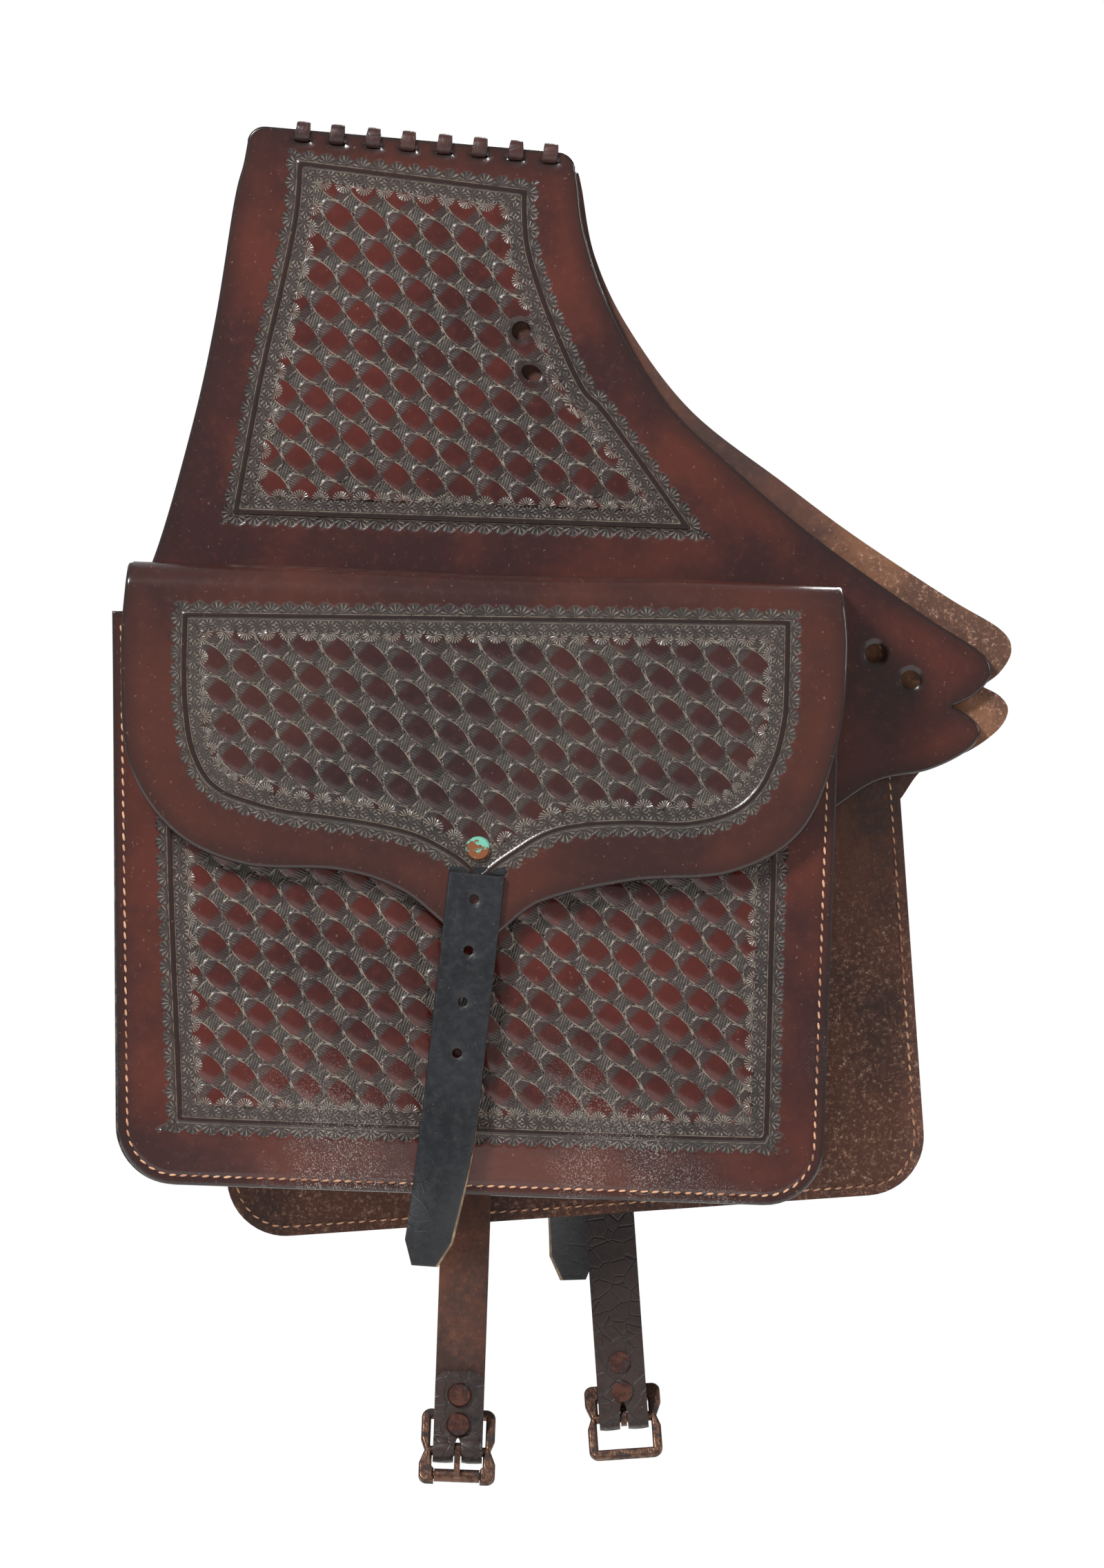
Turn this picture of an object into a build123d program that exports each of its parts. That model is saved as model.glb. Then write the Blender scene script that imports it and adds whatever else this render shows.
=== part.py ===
from build123d import *
import os
from math import cos, radians, sin, tan

os.makedirs("parts", exist_ok=True)

# Pair of laced leather saddlebags, hanging folded over their laced edge, in millimetres.
# +X runs along the bags' width, +Z is up and +Y goes from the near bag to the off bag.
# The origin is the middle of the laced fold. Inside one half, u runs along the width,
# w runs up and "out" is the distance outward from the fold's middle plane.

# Leather
yoke_t = 4.0
gusset_t = 3.0
welt_t = 2.0
panel_t = 3.5
flap_t = 3.8
strap_t = 2.8
billet_t = 3.0
thong_t = 1.6
thong_width = 6.4

# Clearances
half_gap = 0.6            # flesh side of each half to the fold's middle plane
soft_clear = 0.3          # leather that moves past leather
pin_clear = 0.06          # metal turning on metal or in a leather loop
shank_clear = 0.05        # rivet shank in its hole
flap_clear = 4.6          # room for the strap tail between flap and front panel
strap_side_clear = 0.4    # billet to buckle rails, on each side

# Laced edge
fold_slope = 5.0          # the laced edge runs down to the right by this angle
fold_left = -68.0
fold_right = 65.6
edge_drop = 1.0           # laced edges lie this far under the fold axis
lace_count = 8
lace_pitch = 14.5
lace_middle = 4.8
lace_depth = 5.4          # thong slots under the fold axis

# Bag body
bag_left_top = -115.0
bag_left_bottom = -105.5
bag_right = 179.5
mouth_drop = 21.0         # bag mouth under the flap's fold
bag_bottom = -428.5
bag_corner_r = 24.0
bag_depth = 36.0
flange_width = 8.0
flange_t = 3.0
welt_width = 7.0
stitch_inset = 3.6
stitch_width = 0.8
stitch_height = 0.4

# Flap
flap_fold = -177.0
flap_left_inset = 5.7
flap_right_inset = 0.3
flap_bend_r = 12.0
flap_leg_height = 18.5
flap_gap = 0.15           # flex line to the edge of each leg
leg_stitch_up = 4.5

# Strap
slit_u = 35.9
slit_w = -297.5
strap_width = 22.6
strap_length = 160.0
strap_tip_width = 12.0
strap_tip_length = 10.0
strap_tail_length = 19.0
strap_hole_r = 2.0
strap_hole_first = 11.5
strap_hole_pitch = 20.8
strap_hole_count = 4
slit_side_clear = 0.5
strap_start = 1.2         # strap's top edge under the slit's middle, so that it lifts freely

# Fastening holes in the ear and in the yoke
tie_hole_r = 4.0
ear_holes = [(14.8, -203.8), (29.7, -214.1)]      # u from the bag's right side
yoke_holes = [(45.8, -77.4), (50.6, -94.5)]
ear_root = -29.5          # the ear's own reach starts here, from the bag's right side
ear_length = 92.0

# Billet
billet_width = 20.0
billet_in = 14.0
billet_turn_up = 32.5     # turned-back end above the buckle bar
anchor_reach = 18.0
anchor_rivet_outs = (23.0, 30.0)
billet_rivet_pitch = 12.0
tongue_slot_width = 3.4
tongue_slot_up = 7.5
loop_taper_up = 6.0       # where the turned-back end closes on the billet
loop_gap_up = 5.0

# Rivets
shank_r = 2.0
strap_rivet_up = 9.0
corner_rivet_in = 5.0
burr_t = 0.8

# Buckle, made to suit the billet
bar_r = 2.0
frame_t = 3.8
rail_half = billet_width / 2 + strap_side_clear
rail_width = 2.9
waist_half = rail_half + rail_width
loop_half = waist_half + 1.7
loop_end = 18.5
loop_rod = 3.8
lobe_half = waist_half + 2.2
lobe_end = 14.5
roller_distance = 11.0
roller_length = 2 * (rail_half - 1.2)
roller_r = 2.65
axle_r = 1.6
roller_end_clear = 0.2
prong_width = 2.4
prong_t = 2.4
ring_r = 3.6
prong_rest = 0.1          # prong above the roller

# Places that follow from the sizes above
bag_mouth = flap_fold - mouth_drop
flap_left = bag_left_top + flap_left_inset
flap_right = bag_right - flap_right_inset
back_face = half_gap + yoke_t
front_flange = back_face + bag_depth - flange_t
welt_in = back_face + bag_depth
panel_in = welt_in + welt_t
panel_out = panel_in + panel_t
flap_in = panel_out + flap_clear
flap_out = flap_in + flap_t
strap_in = flap_out + soft_clear
leg_out = back_face + flap_t
wall_inset = flange_width + gusset_t
bar_out = billet_in + billet_t + bar_r + pin_clear
billet_top = bag_bottom - 0.3
wall_under = bag_bottom + flange_width
loop_r = bar_r + pin_clear + billet_t
first_rivet_up = loop_taper_up + 5.0
billet_rivet_ups = (first_rivet_up, first_rivet_up + billet_rivet_pitch)


class Half:
    """One half of the pair: its own tilt and place, and what differs by hand."""

    def __init__(self, name, side, tilt, drop, ear_trim, billet_u, billet_drop, lean,
                 roller_angle):
        self.name = name
        self.side = side                  # +1 is the near half, whose outward way is -Y
        self.tilt = radians(tilt)
        self.drop = drop
        self.ear_trim = ear_trim
        self.billet_u = billet_u
        self.bar_w = bag_bottom - billet_drop
        self.lean = radians(lean)
        self.roller_angle = radians(roller_angle)
        self.across = Vector(cos(self.tilt), 0, -sin(self.tilt))
        self.up = Vector(sin(self.tilt), 0, cos(self.tilt))
        self.out = Vector(0, -side, 0)

    def point(self, u, w, out):
        return Vector(0, 0, -self.drop) + self.across * u + self.up * w + self.out * out

    def face_plane(self, out, u=0, w=0, lean=0):
        """Plane parallel to the panels, always seen from -Y, so out may be either way."""
        angle = self.tilt + lean
        along = (cos(angle), 0, -sin(angle))
        return Plane(origin=self.point(u, w, out), x_dir=along, z_dir=(0, -1, 0))

    def edge_plane(self, u=0):
        """Plane across the half: x is outward and y is up."""
        return Plane(origin=self.point(u, 0, 0), x_dir=self.out, z_dir=self.across * -self.side)

    def local(self, x, z):
        """Place in the half of a point given by x and z."""
        rise = z + self.drop
        u = x * cos(self.tilt) - rise * sin(self.tilt)
        w = x * sin(self.tilt) + rise * cos(self.tilt)
        return (u, w)


near = Half("near", 1, 2.0, 0.0, 0.0, 35.9, 105.3, 4.3, 30.0)
off = Half("off", -1, -4.0, 15.0, 13.0, 49.3, 84.6, 0.0, 150.0)

fold_plane = Plane(
    origin=(0, 0, 0),
    x_dir=(cos(radians(fold_slope)), 0, -sin(radians(fold_slope))),
    z_dir=(0, -1, 0),
)
lace_start = lace_middle - lace_pitch * (lace_count - 1) / 2
lace_places = [(lace_start + lace_pitch * i, -lace_depth) for i in range(lace_count)]


def save(part, name):
    part.label = name
    export_step(part, "parts/" + name + ".step")


def laced_edge(half, x):
    """Point of the laced edge at the given x."""
    return half.local(x, -x * tan(radians(fold_slope)) - edge_drop)


def ear_point(half, reach, w):
    """Point of the ear, reach to the right of the bag's side, drawn in by the half's trim."""
    return (bag_right + reach - half.ear_trim * (reach - ear_root) / ear_length, w)


def panel_face(inset, top=bag_mouth, mode=Mode.ADD):
    """Bag panel outline, drawn in by inset on its three sewn sides."""
    with BuildLine() as outline:
        walls = FilletPolyline(
            (bag_left_top + inset, top),
            (bag_left_bottom + inset, bag_bottom + inset),
            (bag_right - inset, bag_bottom + inset),
            (bag_right - inset, top),
            radius=bag_corner_r - inset,
        )
        Line(walls @ 1, walls @ 0)
    make_face(outline.edges(), mode=mode)


def seam_ring(outer, inner):
    """U-shaped strip along the sewn sides, open at the mouth."""
    panel_face(outer)
    panel_face(inner, bag_mouth + 1, Mode.SUBTRACT)


def yoke_face(half):
    """Yoke from the laced edge down to the bag, with the ear on its right."""
    top_left = laced_edge(half, fold_left)
    top_right = laced_edge(half, fold_right)
    with BuildLine() as outline:
        Line(top_right, top_left)
        left = Spline(top_left, (-73, -29), (-79, -77), (-87, -121), (-101, -176),
                      (bag_left_top, bag_mouth - 4))
        lower = Spline((bag_right, -268), ear_point(half, 17.5, -256),
                       ear_point(half, 38.5, -250.5), ear_point(half, 53.5, -242.5),
                       ear_point(half, 58.8, -235), ear_point(half, 55.5, -229),
                       ear_point(half, 47.3, -224.4))
        Line(left @ 1, lower @ 0)
        Spline(lower @ 1, ear_point(half, 56.5, -219), ear_point(half, 62.4, -210.5),
               ear_point(half, 57.5, -201.5), ear_point(half, 34, -187.3),
               ear_point(half, -7.5, -160), (bag_right - 38.5, -136), (105.4, -104), (82, -68),
               (70.5, -38), top_right)
    make_face(outline.edges())


def flap_face():
    """Flap outline with its pointed middle lobe."""
    with BuildLine() as outline:
        curve = Spline(
            (flap_left, flap_fold - 2),
            (flap_left - 1.3, flap_fold - 37),
            (flap_left + 3.3, slit_w + 39.5),
            (flap_left + 22.3, slit_w + 11.5),
            (flap_left + 51.3, slit_w - 1),
            (slit_u - 55.9, slit_w - 2),
            (slit_u - 29.9, slit_w - 9.5),
            (slit_u + 0.5, slit_w - 28.6),
            (slit_u + 26.1, slit_w - 12),
            (slit_u + 62.1, slit_w - 2.3),
            (flap_right - 41.2, slit_w + 2.5),
            (flap_right - 13.2, slit_w + 20.5),
            (flap_right + 0.3, slit_w + 57.5),
            (flap_right + 2.8, flap_fold - 27),
            (flap_right, flap_fold - 2),
        )
        Polyline(curve @ 1, (flap_right, flap_fold + 5), (flap_left, flap_fold + 5), curve @ 0)
    make_face(outline.edges())


def rivet(plane, grip, head_r, head_t, burr_r, burr=burr_t):
    """Shank through the layers, burr under plane and a tapered head on the far side."""
    with BuildSketch(plane) as shank:
        Circle(shank_r)
    extrude(shank.sketch, amount=grip)
    with BuildSketch(plane) as washer:
        Circle(burr_r)
    extrude(washer.sketch, amount=-burr)
    with BuildSketch(plane.offset(grip)) as head:
        Circle(head_r)
    extrude(head.sketch, amount=head_t, taper=25)


def round_holes(plane, places, r, depth):
    """Round holes cut from plane over the signed depth."""
    with BuildSketch(plane) as holes:
        with Locations(*places):
            Circle(r)
    extrude(holes.sketch, amount=depth, mode=Mode.SUBTRACT)


def corner_rivet_places():
    w = flap_fold - flap_leg_height / 2 - 2
    return [(flap_left + corner_rivet_in + 2, w), (flap_right - corner_rivet_in, w)]


def leather_body(half):
    """Yoke with back panel, gusset, welt, front panel, and the seams that join them."""
    side = half.side

    with BuildPart() as yoke_back:
        with BuildSketch(half.face_plane(half_gap)):
            yoke_face(half)
            panel_face(0)
        extrude(amount=side * yoke_t)
        through = half.face_plane(half_gap - 1)
        round_holes(through, yoke_holes, tie_hole_r, side * (yoke_t + 2))
        ear_places = [ear_point(half, u, w) for u, w in ear_holes]
        round_holes(through, ear_places, tie_hole_r, side * (yoke_t + 2))
        round_holes(through, corner_rivet_places(), shank_r + shank_clear, side * (yoke_t + 2))
        with BuildSketch(fold_plane.offset(side * (half_gap - 0.5))):
            with Locations(*lace_places):
                Rectangle(thong_width + 2 * soft_clear, thong_t + 2 * soft_clear)
        extrude(amount=side * (yoke_t + 1), mode=Mode.SUBTRACT)
    save(yoke_back.part, half.name + "_yoke_back")

    with BuildPart() as gusset:
        for start in (back_face, front_flange):
            with BuildSketch(half.face_plane(start)):
                seam_ring(0, wall_inset)
            extrude(amount=side * flange_t)
        with BuildSketch(half.face_plane(back_face)):
            seam_ring(flange_width, wall_inset)
        extrude(amount=side * bag_depth)
        for out in anchor_rivet_outs:
            with BuildSketch(anchor_plane(half, out)):
                Circle(shank_r + shank_clear)
            extrude(amount=gusset_t + billet_t + 1, mode=Mode.SUBTRACT)
    save(gusset.part, half.name + "_gusset")

    with BuildPart() as welt:
        with BuildSketch(half.face_plane(welt_in)):
            seam_ring(0, welt_width)
        extrude(amount=side * welt_t)
    save(welt.part, half.name + "_welt")

    with BuildPart() as front_panel:
        with BuildSketch(half.face_plane(panel_in)):
            panel_face(0)
        extrude(amount=side * panel_t)
    save(front_panel.part, half.name + "_front_panel")

    with BuildPart() as front_stitching:
        with BuildSketch(half.face_plane(panel_out)):
            seam_ring(stitch_inset, stitch_inset + stitch_width)
        extrude(amount=side * stitch_height)
    save(front_stitching.part, half.name + "_front_stitching")

    with BuildPart() as back_stitching:
        with BuildSketch(half.face_plane(half_gap)):
            seam_ring(stitch_inset, stitch_inset + stitch_width)
        extrude(amount=-side * stitch_height)
    save(back_stitching.part, half.name + "_back_stitching")


def flap_pieces(half):
    """Flap: its sewn rear leg, its swinging top and front, the strap and their rivets."""
    side = half.side
    leg_middle_u = (flap_left + flap_right) / 2
    leg_width = flap_right - flap_left
    leg_top = flap_fold - soft_clear

    with BuildPart() as flap_leg:
        with BuildSketch(half.face_plane(back_face)):
            with Locations((leg_middle_u, leg_top - flap_leg_height / 2)):
                Rectangle(leg_width, flap_leg_height)
        extrude(amount=side * flap_t)
        round_holes(half.face_plane(back_face - 1), corner_rivet_places(),
                    shank_r + shank_clear, side * (flap_t + 2))
    save(flap_leg.part, half.name + "_flap_leg")

    with BuildPart() as flap_leg_stitching:
        with BuildSketch(half.face_plane(leg_out)):
            with Locations((leg_middle_u, leg_top - flap_leg_height + leg_stitch_up)):
                Rectangle(leg_width - 8 * corner_rivet_in, stitch_width)
        extrude(amount=side * stitch_height)
    save(flap_leg_stitching.part, half.name + "_flap_leg_stitching")

    with BuildPart() as corner_rivets:
        for u, w in corner_rivet_places():
            base = Plane(origin=half.point(u, w, half_gap), z_dir=half.out)
            rivet(base, yoke_t + flap_t, 5.0, 1.4, 4.0, stitch_height)
    save(corner_rivets.part, half.name + "_corner_rivets")

    low = slit_w - 40
    with BuildPart() as flap:
        with BuildSketch(half.edge_plane(leg_middle_u)):
            with BuildLine():
                outer = FilletPolyline((leg_out + 2 * flap_gap, flap_fold), (flap_out, flap_fold),
                                       (flap_out, low), radius=flap_bend_r)
                inner = FilletPolyline((flap_in, low), (flap_in, flap_fold - flap_t),
                                       (leg_out + 2 * flap_gap, flap_fold - flap_t),
                                       radius=flap_bend_r - flap_t)
                Line(outer @ 1, inner @ 0)
                Line(inner @ 1, outer @ 0)
            make_face()
        extrude(amount=leg_width, both=True)
        with BuildSketch(half.face_plane(0)):
            flap_face()
        extrude(amount=side * (flap_out + 10), mode=Mode.INTERSECT)
        with BuildSketch(half.face_plane(flap_in - 1)):
            with Locations((slit_u, slit_w)):
                Rectangle(strap_width + 2 * slit_side_clear, strap_t + 2 * soft_clear)
        extrude(amount=side * (flap_t + 2), mode=Mode.SUBTRACT)
        round_holes(half.face_plane(flap_in - 1), [(slit_u, slit_w + strap_rivet_up)],
                    shank_r + shank_clear, side * (flap_t + 2))
    save(flap.part, half.name + "_flap")

    with BuildPart() as strap_tail:
        with BuildSketch(half.face_plane(flap_in - strap_t)):
            with Locations((slit_u, slit_w - strap_t / 2 + strap_tail_length / 2)):
                Rectangle(strap_width, strap_tail_length)
        extrude(amount=side * strap_t)
        with BuildSketch(half.face_plane(flap_in - strap_t)):
            with Locations((slit_u, slit_w)):
                Rectangle(strap_width, strap_t)
        extrude(amount=side * (strap_t + flap_t))
        round_holes(half.face_plane(flap_in - strap_t - 1), [(slit_u, slit_w + strap_rivet_up)],
                    shank_r + shank_clear, side * (strap_t + 2))
    save(strap_tail.part, half.name + "_strap_tail")

    with BuildPart() as strap_rivet:
        base = Plane(origin=half.point(slit_u, slit_w + strap_rivet_up, flap_in - strap_t),
                     z_dir=half.out)
        rivet(base, strap_t + flap_t, 5.0, 1.4, 4.5)
    save(strap_rivet.part, half.name + "_strap_rivet")

    with BuildPart() as flap_strap:
        with BuildSketch(half.face_plane(strap_in, slit_u, slit_w, half.lean)):
            with BuildLine():
                Polyline(
                    (-strap_width / 2, -strap_start),
                    (-strap_width / 2, strap_tip_length - strap_length),
                    (-strap_tip_width / 2, -strap_length),
                    (strap_tip_width / 2, -strap_length),
                    (strap_width / 2, strap_tip_length - strap_length),
                    (strap_width / 2, -strap_start),
                    close=True,
                )
            make_face()
            for i in range(strap_hole_count):
                with Locations((0, -strap_hole_first - strap_hole_pitch * i)):
                    Circle(strap_hole_r, mode=Mode.SUBTRACT)
        extrude(amount=side * strap_t)
    save(flap_strap.part, half.name + "_flap_strap")


def anchor_plane(half, out):
    """Plane under the billet anchor, facing up, at one of its rivets."""
    return Plane(origin=half.point(half.billet_u, wall_under - billet_t, out),
                 x_dir=half.across, z_dir=half.up)


def billet_pieces(half):
    """Billet that hangs under the bag, its riveted anchor and the rivets of both."""
    u = half.billet_u
    bar_w = half.bar_w

    with BuildPart() as billet_anchor:
        with BuildSketch(half.edge_plane(u)):
            with BuildLine():
                Polyline(
                    (billet_in, wall_under),
                    (billet_in + billet_t + anchor_reach, wall_under),
                    (billet_in + billet_t + anchor_reach, wall_under - billet_t),
                    (billet_in + billet_t, wall_under - billet_t),
                    (billet_in + billet_t, billet_top),
                    (billet_in, billet_top),
                    close=True,
                )
            make_face()
        extrude(amount=billet_width / 2, both=True)
        for out in anchor_rivet_outs:
            with BuildSketch(anchor_plane(half, out)):
                Circle(shank_r + shank_clear)
            extrude(amount=2 * billet_t, both=True, mode=Mode.SUBTRACT)
    save(billet_anchor.part, half.name + "_billet_anchor")

    with BuildPart() as anchor_rivets:
        for out in anchor_rivet_outs:
            rivet(anchor_plane(half, out), gusset_t + billet_t, 3.2, 1.2, 3.2)
    save(anchor_rivets.part, half.name + "_anchor_rivets")

    front = billet_in + 2 * billet_t
    middle = billet_in + billet_t
    with BuildPart() as billet:
        with BuildSketch(half.edge_plane(u)):
            with BuildLine():
                Polyline((billet_in, billet_top - soft_clear), (middle, billet_top - soft_clear),
                         (middle, bar_w), (billet_in, bar_w), close=True)
            make_face()
            with BuildLine():
                Polyline((middle, bar_w + billet_turn_up), (front, bar_w + billet_turn_up),
                         (front, bar_w + loop_taper_up), (bar_out + loop_r, bar_w),
                         (middle, bar_w), close=True)
            make_face()
            with Locations((bar_out, bar_w)):
                Circle(loop_r)
                Circle(bar_r + pin_clear, mode=Mode.SUBTRACT)
            with BuildLine():
                Polyline((bar_out - bar_r, bar_w), (bar_out + bar_r, bar_w),
                         (middle, bar_w + loop_gap_up), close=True)
            make_face(mode=Mode.SUBTRACT)
        extrude(amount=billet_width / 2, both=True)
        with BuildSketch(half.edge_plane(u)):
            with Locations((bar_out, bar_w + (tongue_slot_up - loop_taper_up) / 2)):
                Rectangle(6 * billet_t, tongue_slot_up + loop_taper_up)
        extrude(amount=tongue_slot_width / 2, both=True, mode=Mode.SUBTRACT)
        places = [(u, bar_w + rise) for rise in billet_rivet_ups]
        round_holes(half.face_plane(billet_in - 1), places, shank_r + shank_clear,
                    half.side * (2 * billet_t + 2))
    save(billet.part, half.name + "_billet")

    with BuildPart() as billet_rivets:
        for w in [bar_w + rise for rise in billet_rivet_ups]:
            rivet(Plane(origin=half.point(u, w, billet_in), z_dir=half.out),
                  2 * billet_t, 5.0, 1.6, 4.2)
    save(billet_rivets.part, half.name + "_billet_rivets")


def buckle_pieces(half):
    """Centre-bar buckle with a roller and one tongue, all placed from its bar."""
    bar = half.point(half.billet_u, half.bar_w, bar_out)
    toward_roller = half.out * sin(half.roller_angle) - half.up * cos(half.roller_angle)
    face_dir = half.across.cross(toward_roller * -1)
    flat = Plane(origin=bar, x_dir=half.across, z_dir=face_dir)
    across = Plane(origin=bar, x_dir=toward_roller, z_dir=half.across)
    ear_half = roller_length / 2 + roller_end_clear
    ear_top = roller_distance - roller_r

    with BuildPart() as buckle_frame:
        with BuildSketch(flat):
            with BuildLine():
                Polyline((0, loop_end), (loop_half, loop_end), (loop_half, 5), (waist_half, 0),
                         (lobe_half, -6), (lobe_half, -lobe_end), (ear_half, -lobe_end),
                         (ear_half, -ear_top), (rail_half, 1 - ear_top), (rail_half, 0), (0, 0),
                         close=True)
            make_face()
            fillet(vertices().sort_by_distance((loop_half, loop_end, 0))[0], radius=4.0)
            fillet(vertices().sort_by_distance((lobe_half, -lobe_end, 0))[0], radius=3.4)
            with Locations((0, loop_end / 2 - loop_rod / 2)):
                Rectangle(2 * (loop_half - loop_rod), loop_end - loop_rod, mode=Mode.SUBTRACT)
            mirror(about=Plane.YZ)
        extrude(amount=frame_t / 2, both=True)
        broad = faces().sort_by(Axis(bar, face_dir))
        fillet(broad[0].edges() + broad[-1].edges(), radius=1.0)
        with BuildSketch(across):
            Circle(bar_r)
        extrude(amount=waist_half - 1, both=True)
        with BuildSketch(across):
            with Locations((roller_distance, 0)):
                Circle(axle_r)
        extrude(amount=ear_half + 2, both=True)
    save(buckle_frame.part, half.name + "_buckle_frame")

    with BuildPart() as buckle_roller:
        with BuildSketch(across):
            with Locations((roller_distance, 0)):
                Circle(roller_r)
                Circle(axle_r + pin_clear, mode=Mode.SUBTRACT)
        extrude(amount=roller_length / 2, both=True)
    save(buckle_roller.part, half.name + "_buckle_roller")

    rest = roller_r + prong_rest
    with BuildPart() as buckle_tongue:
        with BuildSketch(Plane(origin=bar, x_dir=toward_roller, z_dir=toward_roller.cross(face_dir))):
            Circle(ring_r)
            with BuildLine():
                Polyline((0, ring_r), (roller_distance - 3, rest + prong_t),
                         (roller_distance + 2, rest + prong_t), (roller_distance + 2.6, rest + 1),
                         (roller_distance + 2.6, rest), (roller_distance - 3, rest),
                         (0, 0), close=True)
            make_face()
            Circle(bar_r + pin_clear, mode=Mode.SUBTRACT)
        extrude(amount=prong_width / 2, both=True)
    save(buckle_tongue.part, half.name + "_buckle_tongue")


def lacing():
    """Thong turns over the laced edges, each through one slot of both halves."""
    inner_half = half_gap + yoke_t + soft_clear
    bottom = soft_clear - lace_depth - thong_t / 2 - soft_clear
    top = thong_t + soft_clear + edge_drop - soft_clear
    planes = []
    for along, _ in lace_places:
        origin = fold_plane.from_local_coords(Vector(along, 0, 0))
        planes.append(Plane(origin=origin, x_dir=(0, 1, 0), z_dir=fold_plane.x_dir))
    with BuildPart() as yoke_lacing:
        with BuildSketch(*planes):
            with Locations((0, (top + bottom) / 2)):
                RectangleRounded(2 * (inner_half + thong_t), top - bottom, 2.4)
                RectangleRounded(2 * inner_half, top - bottom - 2 * thong_t, 0.8,
                                 mode=Mode.SUBTRACT)
        extrude(amount=thong_width / 2, both=True)
    save(yoke_lacing.part, "yoke_lacing")


for bag_half in (near, off):
    leather_body(bag_half)
    flap_pieces(bag_half)
    billet_pieces(bag_half)
    buckle_pieces(bag_half)
lacing()
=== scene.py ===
import math
from functools import partial

import bmesh
import bpy
import numpy as np
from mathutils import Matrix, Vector, kdtree
from mathutils.geometry import delaunay_2d_cdt

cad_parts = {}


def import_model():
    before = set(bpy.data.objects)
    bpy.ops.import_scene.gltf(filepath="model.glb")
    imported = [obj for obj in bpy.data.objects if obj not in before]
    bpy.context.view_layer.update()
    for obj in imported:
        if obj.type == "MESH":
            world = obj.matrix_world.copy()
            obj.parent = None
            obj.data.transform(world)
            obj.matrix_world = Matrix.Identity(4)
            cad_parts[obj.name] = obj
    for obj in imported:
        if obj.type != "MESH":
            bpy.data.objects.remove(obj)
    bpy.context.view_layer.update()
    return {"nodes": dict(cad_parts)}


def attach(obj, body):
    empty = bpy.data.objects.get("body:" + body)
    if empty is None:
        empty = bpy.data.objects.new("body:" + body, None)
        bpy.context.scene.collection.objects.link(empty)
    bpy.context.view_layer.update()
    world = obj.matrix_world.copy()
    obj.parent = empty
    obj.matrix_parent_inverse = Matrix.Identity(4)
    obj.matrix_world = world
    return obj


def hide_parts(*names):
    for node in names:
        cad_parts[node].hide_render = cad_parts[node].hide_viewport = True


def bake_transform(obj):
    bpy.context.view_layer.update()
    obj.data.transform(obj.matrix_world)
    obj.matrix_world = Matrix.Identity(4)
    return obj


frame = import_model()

mm = 0.001

# The two halves hang from one laced fold. u runs across a half, w up and out away from the fold, in mm.
halves = {
    "near": {"side": 1, "tilt": 2.0, "drop": 0.0, "earTrim": 0.0, "billetU": 35.9, "barW": -533.8,
             "lean": 4.3, "seed": 3},
    "off": {"side": -1, "tilt": -4.0, "drop": 15.0, "earTrim": 13.0, "billetU": 49.3, "barW": -513.1,
            "lean": 0.0, "seed": 8},
}
layers = {"gap": 0.6, "yoke": 4.0, "depth": 36.0, "welt": 2.0, "panel": 3.5, "flapClear": 4.6,
          "flap": 3.8, "strap": 2.8, "billet": 3.0}
backFace = layers["gap"] + layers["yoke"]
weltIn = backFace + layers["depth"]
panelIn = weltIn + layers["welt"]
panelOut = panelIn + layers["panel"]
flapIn = panelOut + layers["flapClear"]
flapOut = flapIn + layers["flap"]
bag = {"leftTop": -115.0, "leftBottom": -105.5, "right": 179.5, "mouth": -198.0, "bottom": -428.5,
       "corner": 24.0}
fold = {"slope": 5.0, "left": -68.0, "right": 65.6, "drop": 1.0, "laceCount": 8, "lacePitch": 14.5,
        "laceMiddle": 4.8, "laceDepth": 5.4}
strapPlace = {"u": 35.9, "w": -297.5}
tieHoles = {"yoke": [(45.8, -77.4), (50.6, -94.5)], "ear": [(194.3, -203.8), (209.2, -214.1)], "r": 4.0}


def toWorld(half, u, w, out):
    tilt = math.radians(half["tilt"])
    x = u * math.cos(tilt) + w * math.sin(tilt)
    z = -u * math.sin(tilt) + w * math.cos(tilt) - half["drop"]
    y = -half["side"] * out + 0 * x
    return np.stack([x, y, z], -1) * mm


def toLocal(half, x, z):
    tilt = math.radians(half["tilt"])
    rise = z + half["drop"]
    return (x * math.cos(tilt) - rise * math.sin(tilt), x * math.sin(tilt) + rise * math.cos(tilt))


def smoothLine(points, step=1.0):
    pts = np.array(points, float)
    pts = np.vstack([2 * pts[0] - pts[1], pts, 2 * pts[-1] - pts[-2]])
    line = []
    for a, b, c, d in zip(pts[:-3], pts[1:-2], pts[2:-1], pts[3:]):
        count = max(2, int(np.linalg.norm(c - b) / step))
        t = np.linspace(0, 1, count, endpoint=False)[:, None]
        line.append(0.5 * (2 * b + (c - a) * t + (2 * a - 5 * b + 4 * c - d) * t ** 2
                           + (3 * b - a - 3 * c + d) * t ** 3))
    return np.vstack(line + [pts[-2][None]])


def straightLine(points, step=1.0):
    pts = np.array(points, float)
    line = [a + (b - a) * np.linspace(0, 1, max(2, int(np.linalg.norm(b - a) / step)),
                                      endpoint=False)[:, None] for a, b in zip(pts[:-1], pts[1:])]
    return np.vstack(line + [pts[-1][None]])


def insideLoop(loop, points):
    result = np.zeros(len(points), bool)
    for (x1, y1), (x2, y2) in zip(loop, np.roll(loop, -1, 0)):
        crosses = (points[:, 1] < y1) != (points[:, 1] < y2)
        if crosses.any():
            at = x1 + (points[:, 1] - y1) * (x2 - x1) / (y2 - y1 + 1e-12)
            result ^= crosses & (points[:, 0] < at)
    return result


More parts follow.
